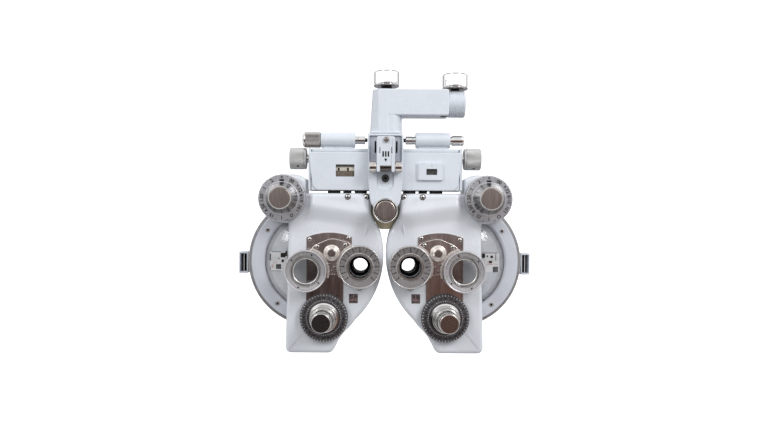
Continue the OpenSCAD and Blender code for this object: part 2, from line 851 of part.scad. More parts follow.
// Toothed outline, with its first tooth at the angle turn
module gear_outline(u, z, pitch_r, teeth, turn) {
    tooth = pitch_r * PI / teeth;
    translate([u, z]) {
        circle(r = pitch_r - 0.65 * tooth);
        for (i = [0:teeth - 1]) {
            rotate(turn + i * 360 / teeth) polygon([
                [pitch_r - 0.8 * tooth, -0.5 * tooth],
                [pitch_r + 0.5 * tooth, -0.2 * tooth],
                [pitch_r + 0.5 * tooth, 0.2 * tooth],
                [pitch_r - 0.8 * tooth, 0.5 * tooth]
            ]);
        }
    }
}

gear_line = atan2(-cyl_z - drum_z, cyl_u - drum_u);

module cyl_disc(side) {
    color(dark) on_head(side) {
        lens_disc(cyl_front, disc_t);
        difference() {
            slab(gear_front, cyl_front + disc_t / 2)
                gear_outline(drum_u, drum_z, hub_gear_r, hub_teeth, gear_line);
            rod_y(axle_r + run_gap, gear_front - cut, cyl_front + disc_t, drum_u, drum_z);
        }
    }
}

// Knobs and dials of a head

module aux_dial(side) {
    shaft_r = aux_cap_r / 3;
    face = 12;
    cap = 29;
    color(steel) on_head(side) {
        rod_y(aux_r, -face, -face / 3, aux_u, aux_z);
        rod_y(aux_r * 0.7, -face / 3 - cut, -air_gap, aux_u, aux_z);
        cone_y(aux_cap_r, aux_r * 0.68, -cap + face / 3, -face, aux_u, aux_z);
        rod_y(aux_cap_r, -cap, -face, aux_u, aux_z);
        rod_y(shaft_r, -face, ring_front, aux_u, aux_z);
    }
}

axis_face = 7.5;

module axis_dial(side) {
    color(dark) on_head(side) difference() {
        union() {
            rod_y(axis_r, -axis_face, -casing_wall, cyl_u, -cyl_z);
            rod_y(0.5 * axis_r, -axis_face, -air_gap - shield_t, cyl_u, -cyl_z);
        }
        rod_y(cyl_cap_r / 3 + run_gap, -2 * axis_face, cut, cyl_u, -cyl_z);
    }
}

module cyl_knob(side) {
    shaft_r = cyl_cap_r / 3;
    base = axis_face + air_gap;
    step = (cyl_reach - base) / 4;
    color(chrome) on_head(side) {
        rod_y(axis_r * 0.56, -base - step, -base, cyl_u, -cyl_z);
        rod_y(axis_r * 0.5, -base - 2 * step, -base - step + cut, cyl_u, -cyl_z);
        cone_y(cyl_cap_r * 1.04, axis_r * 0.46, -base - 3 * step, -base - 2 * step + cut,
            cyl_u, -cyl_z);
        rod_y(cyl_cap_r, -cyl_reach, -base - 3 * step + cut, cyl_u, -cyl_z);
        rod_y(shaft_r, -base - cut, gear_front + gear_t, cyl_u, -cyl_z);
        slab(gear_front, gear_front + gear_t)
            gear_outline(cyl_u, -cyl_z, pinion_r, pinion_teeth, gear_line + 180 + 180 / pinion_teeth);
    }
}

shield_t = 1;

module shield_plate(side) {
    brow_in = 8.2;
    left = 16.3;
    right = 52.6;
    top = 26.5;
    apex_z = 32.7;
    apex_r = 58;
    color(mirror_brown) on_head(side) difference() {
        slab(-shield_t, 0) {
            polygon([
                [brow_in, top + shield_t], [brow_in, drum_z], [left, -casing_wall], [left, -cyl_z],
                [right, -cyl_z], [right, top]
            ]);
            intersection() {
                translate([turret_u + casing_wall, apex_z - apex_r]) circle(r = apex_r);
                translate([brow_in, 0]) square([right - brow_in, apex_r]);
            }
        }
        rod_y(sight_r + casing_wall, -shield_t - cut, cut, 0, 0);
        rod_y(cyl_cap_r / 2, -shield_t - cut, cut, cyl_u, -cyl_z);
        rod_y(turret_pin_r + run_gap, -shield_t - cut, cut, turret_u, turret_z);
    }
}

turret_front = 11.5;
turret_plate_shares = [
    [0.55, 0.255], [0, 0.484], [-0.533, 0.344], [-1.033, -0.169],
    [-0.636, -0.898], [0, -0.633], [0.656, -0.931], [1.02, -0.301]
];
turret_t = 3;
prism_turn = atan2(-turret_z, -turret_u);
turret_arm = norm([turret_u, turret_z]);
prism_bore_r = 10.2;
dial_t = 3.6;
cross_bore_r = 14.3;
cross_seat_r = 16.1;
cell_y = -16;
cell_t = 3;
flip_turn = 68.3;
flip_r = 1.5;

module at_unit(index) {
    turn = prism_turn + index * turret_angle;
    translate([turret_u + turret_arm * cos(turn), 0, turret_z + turret_arm * sin(turn)]) children();
}

module turret(side) {
    back = -turret_front + turret_t;
    color(steel) on_head(side) difference() {
        union() {
            slab(-turret_front, back) translate([turret_u, turret_z])
                polygon(turret_plate_shares * turret_arm);
            for (p = turret_screw_shares * turret_arm) {
                rod_y(small_screw_r, -turret_front - screw_t, back, turret_u + p[0], turret_z + p[1]);
            }
            rod_y(2 * turret_pin_r, -turret_front - turret_pin_r, -shield_t - air_gap,
                turret_u, turret_z);
            rod_y(turret_pin_r, -turret_front, casing_wall + dial_t, turret_u, turret_z);
            at_unit(0) rod_y(prism_r, -unit_front + dial_t, back);
            at_unit(1) rod_y(cross_r, -turret_front - 2 * air_gap, back);
        }
        at_unit(0) rod_y(prism_bore_r + casing_wall, -unit_front, cut);
        at_unit(1) rod_y(cross_seat_r, -unit_front, cut);
    }
}

module prism_dial(side) {
    color(dark) on_head(side) at_unit(0) difference() {
        union() {
            rod_y(prism_r, -unit_front, -unit_front + dial_t - air_gap);
            rod_y(prism_bore_r + casing_wall - run_gap, -unit_front,
                -turret_front + turret_t - air_gap);
        }
        rod_y(prism_bore_r, -unit_front - cut, cut);
    }
}

// Turns about the unit's axis and carries the flipping cell
module cross_ring(side) {
    back = -turret_front + turret_t;
    color(chrome) on_head(side) at_unit(1) difference() {
        union() {
            rod_y(cross_r, -unit_front, -turret_front - 3 * air_gap);
            rod_y(cross_seat_r - run_gap, -unit_front, back - air_gap);
        }
        rod_y(cross_bore_r, -unit_front - cut, cut);
        translate([0, cell_y, 0]) rotate([0, -flip_turn, 0])
            rod_x(flip_r + run_gap, -cross_bore_r - 2 * flip_r, cross_bore_r + 2 * flip_r, 0, 0);
    }
}

module cross_cell(side) {
    color(chrome) on_head(side) at_unit(1) difference() {
        union() {
            rod_y(cross_bore_r - 1.4 * air_gap, cell_y - cell_t / 2, cell_y + cell_t / 2);
            translate([0, cell_y, 0]) rotate([0, -flip_turn, 0])
                rod_x(flip_r, -cross_bore_r - 1.8 * flip_r, cross_bore_r + 1.8 * flip_r, 0, 0);
        }
        rod_y(cross_glass_r, cell_y - cross_r, cell_y + cross_r);
        rod_y(cross_glass_r + cell_t / 3, cell_y - lens_t / 2, cell_y + lens_t / 2);
    }
}

module cross_lens(side) {
    color(glass) on_head(side) at_unit(1)
        rod_y(cross_glass_r + cell_t / 3, cell_y - lens_t / 2, cell_y + lens_t / 2);
}

// Sight for the eye's distance, face shield and fasteners

module sight(side) {
    wall = sight_w / 8;
    top = sight_low + sight_h;
    color(white) on_head(side) {
        difference() {
            block(sight_u, sight_u + sight_w, cover_depth - cut, back_y - ring_t, sight_low, top);
            block(sight_u + wall, sight_u + sight_w - wall, cover_depth - 2 * cut, back_y,
                sight_low + 2 * wall, top - 2 * wall);
        }
        difference() {
            block(drum_u + ring_r - casing_wall, sight_u + wall / 2, back_y - 3 * ring_t,
                back_y - ring_t, sight_low + 2 * wall, top - 2 * wall);
            rod_y(ring_r, 0, back_y + cut, drum_u, drum_z);
        }
    }
}

module face_shield(side) {
    cup = sight_r + 2 * casing_wall;
    color(dark) on_head(side) difference() {
        union() {
            rod_y(cup, back_y, back_y + ring_t / 2);
            cone_y(cup, cup + casing_wall, back_y + ring_t / 2, back_y + ring_t);
        }
        rod_y(sight_r, back_y - cut, back_y + ring_t + cut);
    }
}

module head_screws(side) {
    color(chrome) on_head(side) {
        for (p = cover_screw_shares * casing_top) rod_y(screw_r, -screw_t, 0, p[0], p[1]);
        for (p = plate_screw_shares * turret_arm) {
            rod_y(small_screw_r, -shield_t - screw_t, -shield_t, turret_u + p[0], turret_z + p[1]);
        }
        for (turn = ring_screw_turns) {
            reach = (window_r + ring_r) / 2;
            rod_y(small_screw_r, ring_front - screw_t, ring_front,
                drum_u + reach * cos(turn), drum_z + reach * sin(turn));
        }
    }
}

support_arm();
stand_collar();
column_knob();
collar_knob();
hanger();
rod_holder();
hinge_pin();
crossbar();
crossbar_covers();
crossbar_windows();
level_knob();
level_rod();
level_plunger();
pd_screw();
rest_bracket();
forehead_knob();
forehead_rest();
carriage(-1);  // carriage_left
carriage(1);  // carriage_right
front_cover(-1);  // front_cover_left
front_cover(1);  // front_cover_right
rear_cover(-1);  // rear_cover_left
rear_cover(1);  // rear_cover_right
drum_ring(-1);  // drum_ring_left
drum_ring(1);  // drum_ring_right
drum_window(-1);  // drum_window_left
drum_window(1);  // drum_window_right
sphere_wheel(-1);  // sphere_wheel_left
sphere_wheel(1);  // sphere_wheel_right
sphere_lenses(-1);  // sphere_lenses_left
sphere_lenses(1);  // sphere_lenses_right
aux_dial(-1);  // aux_dial_left
aux_dial(1);  // aux_dial_right
aux_disc(-1);  // aux_disc_left
aux_disc(1);  // aux_disc_right
shield_plate(-1);  // shield_plate_left
shield_plate(1);  // shield_plate_right
turret(-1);  // turret_left
turret(1);  // turret_right
prism_dial(-1);  // prism_dial_left
prism_dial(1);  // prism_dial_right
cross_ring(-1);  // cross_ring_left
cross_ring(1);  // cross_ring_right
cross_cell(-1);  // cross_cell_left
cross_cell(1);  // cross_cell_right
cross_lens(-1);  // cross_lens_left
cross_lens(1);  // cross_lens_right
axis_dial(-1);  // axis_dial_left
axis_dial(1);  // axis_dial_right
cyl_knob(-1);  // cyl_knob_left
cyl_knob(1);  // cyl_knob_right
cyl_disc(-1);  // cyl_disc_left
cyl_disc(1);  // cyl_disc_right
sight(-1);  // sight_left
sight(1);  // sight_right
face_shield(-1);  // face_shield_left
face_shield(1);  // face_shield_right
head_screws(-1);  // head_screws_left
head_screws(1);  // head_screws_right
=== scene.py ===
"""Looks of a manual phoropter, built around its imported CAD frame.

Sizes are in millimetres in the instrument's own frame: x to the right from the mid-plane, y backwards from
the casings' front faces, z up from the sight axes. A head's own frame runs u outwards from its sight axis.
to_row() turns either into the row frame in metres. New pieces are closed surfaces on parameter grids.
"""

import bmesh
import bpy
import numpy as np
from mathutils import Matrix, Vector


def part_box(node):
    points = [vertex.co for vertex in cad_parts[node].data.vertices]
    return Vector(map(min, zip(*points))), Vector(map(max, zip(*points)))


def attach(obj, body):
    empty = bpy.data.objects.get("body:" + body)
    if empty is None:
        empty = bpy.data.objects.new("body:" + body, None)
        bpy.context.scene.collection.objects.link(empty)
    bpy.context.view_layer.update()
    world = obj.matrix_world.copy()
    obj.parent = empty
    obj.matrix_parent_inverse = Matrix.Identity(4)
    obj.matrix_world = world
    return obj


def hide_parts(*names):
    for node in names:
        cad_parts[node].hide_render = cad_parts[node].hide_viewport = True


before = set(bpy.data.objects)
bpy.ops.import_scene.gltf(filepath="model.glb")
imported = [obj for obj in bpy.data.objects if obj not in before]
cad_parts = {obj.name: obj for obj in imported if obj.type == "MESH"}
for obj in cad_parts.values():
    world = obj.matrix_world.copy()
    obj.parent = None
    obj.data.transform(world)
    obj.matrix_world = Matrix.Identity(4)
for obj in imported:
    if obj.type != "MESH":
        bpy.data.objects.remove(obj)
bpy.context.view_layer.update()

bl_info = {
    "name": "Manual phoropter",
    "version": (1, 0, 0),
    "blender": (4, 5, 0),
    "location": "View3D > Sidebar > Phoropter",
    "description": "Detailed pieces and finishes of a manual phoropter around its CAD frame",
    "category": "Add Mesh",
}

SIDES = {"left": -1, "right": 1}
SOCKET = np.array((77.8, 4.0, 159.8))
TAU = 2 * np.pi


def middle(node):
    """Middle of a CAD node's box in instrument millimetres, to the hundredth."""
    low, high = (np.array(corner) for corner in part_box(node))
    return np.round((low + high) * 500 + SOCKET, 2)


def on_head(node):
    """Middle of a round node of the right head, in the head's own u and z."""
    x, _, z = middle(node + "_right")
    return float(x - EYE), float(z)


# Axes that the new pieces share with the solids
EYE = middle("prism_dial_right")[0]
DRUM, AUX, CYL, CROSS = map(on_head, ("sphere_wheel", "aux_dial", "axis_dial", "cross_ring"))
TURRET = (27.2, 13.1)
LEVEL_AXIS = (0, *middle("level_knob")[1:])
DISTANCE_AXIS = (0, *middle("pd_screw")[1:])
HINGE = (0, *middle("hinge_pin")[1:])
BROW = (0, 0, middle("forehead_knob")[2])


# Shapes


def to_row(points, side=0):
    """Instrument millimetres, or a head's where a side is given, to row metres."""
    p = np.array(points, float)
    if side:
        p[..., 0] = side * (EYE + p[..., 0])
    return (p - SOCKET) / 1000


def turned(a, b, depth, plane):
    """Outline coordinates a, b and a depth to x, y, z: 'xz' runs along y, 'xy' along z, 'yz' along x."""
    order = {"xz": (a, depth, b), "xy": (a, b, depth), "yz": (depth, a, b)}[plane]
    return np.stack(np.broadcast_arrays(*order), -1)


def soft(profile, radius, steps=4, loop=False):
    """Round the corners of a line or loop: each becomes the quadratic arc between the points a radius to both sides."""
    p = np.asarray(profile, float)
    if loop:
        p = np.vstack([p[-1:], p, p[:1]])
    a, b, c = p[:-2], p[1:-1], p[2:]
    r = np.broadcast_to(np.asarray(radius, float), (len(b),))[:, None]
    la = np.linalg.norm(a - b, axis=1, keepdims=True)
    lc = np.linalg.norm(c - b, axis=1, keepdims=True)
    start = b + (a - b) / la * np.minimum(r, la * 0.49)
    end = b + (c - b) / lc * np.minimum(r, lc * 0.49)
    t = np.linspace(0, 1, steps + 1)[None, :, None]
    arcs = (1 - t) ** 2 * start[:, None] + 2 * t * (1 - t) * b[:, None] + t**2 * end[:, None]
    arcs = arcs.reshape(-1, 2)
    return arcs if loop else np.vstack([p[:1], arcs, p[-1:]])


def even(loop, count):
    """The same loop with its points spaced evenly along it."""
    closed = np.vstack([loop, loop[:1]])
    run = np.r_[0, np.cumsum(np.linalg.norm(np.diff(closed, axis=0), axis=1))]
    s = np.linspace(0, run[-1], count, endpoint=False)
    return np.stack([np.interp(s, run, closed[:, k]) for k in (0, 1)], 1)


def inset(loop, distance):
    """Move each point of a counter-clockwise loop inwards along the loop's normal. Where that would bring it nearer to
    the loop than the distance, in a tight corner, it lies on the chord between the good points on both sides."""
    ahead = np.roll(loop, -1, 0) - loop
    along = ahead + np.roll(ahead, 1, 0)
    along /= np.maximum(np.linalg.norm(along, axis=1, keepdims=True), 1e-9)
    moved = loop + distance * np.stack([-along[:, 1], along[:, 0]], 1)
    if distance <= 0:
        return moved
    away = moved[:, None] - loop[None]
    share = np.clip((away * ahead).sum(2) / np.maximum((ahead**2).sum(1), 1e-12), 0, 1)
    gap = np.linalg.norm(away - share[..., None] * ahead, axis=2).min(1)
    good = np.flatnonzero(gap > distance * 0.97)
    if len(good) < 3:
        return moved
    order = np.arange(len(loop))
    return np.stack([np.interp(order, good, moved[good, k], period=len(loop)) for k in (0, 1)], 1)


def slab(outline, low, high, edge=1.0, back_edge=None, plane="xz", steps=4):
    """Plate: an outline carried from depth low to high, whose rims follow a quarter circle of the edge radius."""
    back_edge = edge if back_edge is None else back_edge
    t = np.linspace(0, np.pi / 2, steps + 1)
    front = np.stack([edge * (1 - np.sin(t)), low + edge * (1 - np.cos(t))], 1)
    back = np.stack([back_edge * (1 - np.sin(t)), high - back_edge * (1 - np.cos(t))], 1)[::-1]
    rings = [turned(*inset(outline, d).T, depth, plane) for d, depth in np.vstack([front, back])]
    return np.stack(rings), "caps"


def lathe(profile, at, axis="y", steps=96, teeth=0, depth=0.0, rows=(0, 0), sweep=None, twist=0.0):
    """Turned form: a profile of (radius, depth) about an axis through the point at. On the knurled rows the radius dips
    by depth times a wave with that many teeth. A sweep of (from, to) degrees is less than a full turn."""
    p = np.asarray(profile, float)
    if sweep:
        angle = np.radians(np.linspace(*sweep, steps))[None, :]
    else:
        angle = np.linspace(0, TAU, steps, endpoint=False)[None, :]
    radius = np.repeat(p[:, :1], steps, 1)
    if teeth:
        band = ((p[:, 1] > rows[0]) & (p[:, 1] < rows[1]) & (p[:, 0] > 0.5 * p[:, 0].max()))[:, None]
        wave = 0.5 + 0.5 * np.cos(teeth * angle + twist * p[:, 1:2])
        radius = radius - band * depth * wave
    a, b = radius * np.cos(angle), radius * np.sin(angle)
    plane = {"y": "xz", "z": "xy", "x": "yz"}[axis]
    grid = turned(a, b, p[:, 1:2], plane) + turned(0.0, 0.0, 0.0, plane)
    grid = grid + np.asarray(at, float)
    return grid, ("open" if sweep else "round")


def rect(x0, x1, z0, z1, corner=0.0, steps=4):
    """Counter-clockwise rectangle with rounded corners."""
    p = np.array([(x0, z0), (x1, z0), (x1, z1), (x0, z1)], float)
    return soft(p, corner, steps, loop=True) if corner else p


def rounded(sides, count, low, high, *edges, **more):
    """Plate whose outline is a rectangle with rounded corners, given as for rect(), with that many points."""
    return slab(even(rect(*sides), count), low, high, *edges, **more)


def rod_profile(radius, low, high):
    """Profile of a plain rod between two depths, for lathe."""
    return [(0, low), (radius, low), (radius, high), (0, high)]


def tube_profile(inner, outer, low, high):
    """Closed profile of a plain tube or washer between two depths, for lathe."""
    return [(inner, low), (outer, low), (outer, high), (inner, high), (inner, low)]


def bars(low, high, turns=None, about=(0, 0, 0)):
    """Thin boxes for ticks and marks: each has its own lowest and highest corner, then turns about the y axis through
    a point by an angle in radians. Returns all eight corners of each."""
    low, high = np.atleast_2d(low).astype(float), np.atleast_2d(high).astype(float)
    pick = np.array([(i, j, k) for i in (0, 1) for j in (0, 1) for k in (0, 1)])[None]
    corners = np.where(pick == 1, high[:, None], low[:, None])
    if turns is not None:
        c, s = np.cos(turns)[:, None], np.sin(turns)[:, None]
        x, z = corners[..., 0], corners[..., 2]
        corners = np.stack([c * x - s * z, corners[..., 1] + 0 * (c * x), s * x + c * z], -1)
    return corners + np.asarray(about, float), "boxes"


def grid_faces(rows, cols, wrap):
    """Quads of a grid of points, joined round the columns where it wraps."""
    i = np.arange(rows - 1)[:, None]
    j = np.arange(cols if wrap else cols - 1)[None, :]
    corners = (i * cols + j, (i + 1) * cols + j, (i + 1) * cols + (j + 1) % cols, i * cols + (j + 1) % cols)
    return np.stack(np.broadcast_arrays(*corners), -1).reshape(-1, 4)


BOX_FACES = np.array([(0, 1, 3, 2), (4, 6, 7, 5), (0, 4, 5, 1), (2, 3, 7, 6), (0, 2, 6, 4), (1, 5, 7, 3)])


def piece(name, shapes, finish, body, replaces=(), side=0, angle=32.0):
    """One object from closed shapes, with the finish of that name: doubles merged, faces turned outwards, smooth but
    for edges sharper than angle."""
    points, faces, base = [], [], 0
    for grid, kind in shapes:
        rows, cols = grid.shape[0], grid.shape[1]
        if kind == "boxes":
            found = (BOX_FACES[None] + 8 * np.arange(rows)[:, None, None]).reshape(-1, 4).tolist()
        else:
            found = grid_faces(rows, cols, kind != "open").tolist()
            if kind == "caps":
                found += [list(range(cols)), list(range((rows - 1) * cols, rows * cols))]
            if kind == "open":
                found += [list(range(0, rows * cols, cols)), list(range(cols - 1, rows * cols, cols))]
                found += [[(rows - 1) * cols + j, (rows - 1) * cols + j + 1, j + 1, j] for j in range(cols - 1)]
        points.append(to_row(grid, side).reshape(-1, 3))
        faces += [[v + base for v in f] for f in found]
        base += points[-1].shape[0]
    mesh = bpy.data.meshes.new(name)
    mesh.from_pydata(np.vstack(points), [], faces)
    return dress(mesh, name, finish, body, replaces, angle)


def dress(mesh, name, finish, body, replaces=(), angle=32.0):
    """Clean a mesh, make it an object with its finish, and ride it on its body."""
    bm = bmesh.new()
    bm.from_mesh(mesh)
    bmesh.ops.remove_doubles(bm, verts=bm.verts, dist=2e-7)
    bmesh.ops.dissolve_degenerate(bm, edges=bm.edges, dist=1e-8)
    bmesh.ops.recalc_face_normals(bm, faces=bm.faces)
    bm.to_mesh(mesh)
    bm.free()
    mesh.shade_smooth()
    mesh.set_sharp_from_angle(angle=np.radians(angle))
    obj = bpy.data.objects.new(name, mesh)
    bpy.context.scene.collection.objects.link(obj)
    mesh.materials.append(look(finish))
    flatten(obj)
    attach(obj, body)
    if replaces:
        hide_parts(*replaces)
    return obj


def flatten(obj):
    """Let broad faces keep their own direction in the shading, so that only the rounded edges turn the light."""
    modifier = obj.modifiers.new("flat_faces", "WEIGHTED_NORMAL")
    modifier.mode = "FACE_AREA"
    modifier.weight = 50
    modifier.keep_sharp = True


def linear(code):
    """sRGB hex to linear RGBA."""
    c = np.array([int(code[i : i + 2], 16) for i in (1, 3, 5)]) / 255
    return (*np.where(c <= 0.04045, c / 12.92, ((c + 0.055) / 1.055) ** 2.4), 1.0)


class PhoropterSizes(bpy.types.PropertyGroup):
    """Sizes that change how rounded and how finely knurled the pieces are, in millimetres."""

    arm_edge: bpy.props.FloatProperty(
        name="Arm edge", description="Rounding of the support arm's edges in mm", default=1.4, min=0.5, max=4.5
    )
    casting_edge: bpy.props.FloatProperty(
        name="Casting edge", description="Rounding of the hanger's edges in mm", default=0.9, min=0.3, max=1.6
    )
    casing_edge: bpy.props.FloatProperty(
        name="Casing edge", description="Rounding of the head casings' front edges in mm", default=4.2, min=1.0, max=6.0
    )
    knob_teeth: bpy.props.IntProperty(
        name="Knob teeth", description="Knurl teeth round a pupil distance knob", default=56, min=24, max=90
    )
    drum_teeth: bpy.props.IntProperty(
        name="Drum teeth", description="Knurl teeth round the rim of a sphere wheel", default=180, min=90, max=240
    )


class PhoropterColours(bpy.types.PropertyGroup):
    """Colours of the painted and coated pieces. Each is named for its finish, and is that finish's lighter tone."""

    powder_coat_white: bpy.props.FloatVectorProperty(
        name="Arm and crossbar", description="Powder coat of arm, hanger and crossbar", subtype="COLOR",
        size=4, min=0, max=1, default=linear("#DFE4EC"),
    )
    powder_coat_fine: bpy.props.FloatVectorProperty(
        name="Collar and rear covers", description="Finer powder coat of collar, rear covers and sights",
        subtype="COLOR", size=4, min=0, max=1, default=linear("#DCE1EA"),
    )
    gloss_enamel: bpy.props.FloatVectorProperty(
        name="Casings", description="Gloss enamel of the head casings", subtype="COLOR",
        size=4, min=0, max=1, default=linear("#E6E9EF"),
    )
    drum_enamel: bpy.props.FloatVectorProperty(
        name="Drum rings", description="Greyer enamel of the drum rings", subtype="COLOR",
        size=4, min=0, max=1, default=linear("#D0D3DB"),
    )
    khaki_paint: bpy.props.FloatVectorProperty(
        name="Forehead bracket", description="Paint of the forehead rest's bracket", subtype="COLOR",
        size=4, min=0, max=1, default=linear("#A0947A"),
    )
    anodised_dark: bpy.props.FloatVectorProperty(
        name="Axis rings", description="Anodised ring of the cylinder axis", subtype="COLOR",
        size=4, min=0, max=1, default=linear("#5F5C5F"),
    )


# Finishes


def add(tree, kind, inputs=None, **settings):
    """Add a node, set its own settings, and set or link its inputs. Returns the node."""
    node = tree.nodes.new(kind)
    for key, value in settings.items():
        setattr(node, key, value)
    for key, value in (inputs or {}).items():
        if isinstance(value, bpy.types.NodeSocket):
            tree.links.new(value, node.inputs[key])
        else:
            node.inputs[key].default_value = value
    return node


def per_mm(size):
    """Pattern scale on Object coordinates, which are in metres, for features of a size in millimetres."""
    return 1000.0 / size


def new_material(name, coating=0.0, **sockets):
    """Empty material with its Principled shader; constants go straight on the shader's sockets."""
    material = bpy.data.materials.new(name)
    material.use_nodes = True
    tree = material.node_tree
    shader = tree.nodes["Principled BSDF"]
    for key, value in sockets.items():
        shader.inputs[key.replace("_", " ")].default_value = value
    if coating:
        shader.inputs["Coat Weight"].default_value = coating
        shader.inputs["Coat Roughness"].default_value = 0.08
    return material, tree, shader


def ramp(tree, factor, stops):
    """Colour ramp from (place, linear colour) stops."""
    node = add(tree, "ShaderNodeValToRGB", {"Fac": factor})
    row = node.color_ramp.elements
    while len(row) < len(stops):
        row.new(0.5)
    for element, (place, colour) in zip(row, stops):
        element.position = place
        element.color = colour
    return node.outputs["Color"]


def between(tree, value, low, high, start=0.0, end=1.0):
    """A value's stretch from low to high, mapped onto start to end and held outside it."""
    sockets = {"Value": value, "From Min": low, "From Max": high, "To Min": start, "To Max": end}
    return add(tree, "ShaderNodeMapRange", sockets).outputs["Result"]


# Nearly all of a noise's values lie between these two
NOISE_LOW, NOISE_HIGH = 0.3, 0.7


def new_finish(name, tones, rough, size=6.0, stretch=(1, 1, 1), bump=0.0, bump_size=0.5, **sockets):
    """Material whose colour and roughness run between two tones and two values along a noise. The noise's features
    have a size in mm, stretched along axes for brushing. bump is the height in mm of a finer grain."""
    material, tree, shader = new_material(name, **sockets)
    place = add(tree, "ShaderNodeTexCoord").outputs["Object"]
    flow = add(tree, "ShaderNodeMapping", {"Vector": place, "Scale": stretch}).outputs["Vector"]
    noise = add(
        tree, "ShaderNodeTexNoise", {"Vector": flow, "Scale": per_mm(size), "Detail": 4.0, "Roughness": 0.55}
    )
    pattern = noise.outputs["Fac"]
    stops = list(zip((NOISE_LOW, NOISE_HIGH), tones))
    tree.links.new(ramp(tree, pattern, stops), shader.inputs["Base Color"])
    tree.links.new(between(tree, pattern, NOISE_LOW, NOISE_HIGH, *rough), shader.inputs["Roughness"])
    if bump:
        grain = add(tree, "ShaderNodeTexNoise", {"Vector": flow, "Scale": per_mm(bump_size), "Detail": 2.0})
        rise = add(
            tree, "ShaderNodeBump", {"Height": grain.outputs["Fac"], "Distance": bump / 1000, "Strength": 0.5}
        )
        tree.links.new(rise.outputs["Normal"], shader.inputs["Normal"])
    return material


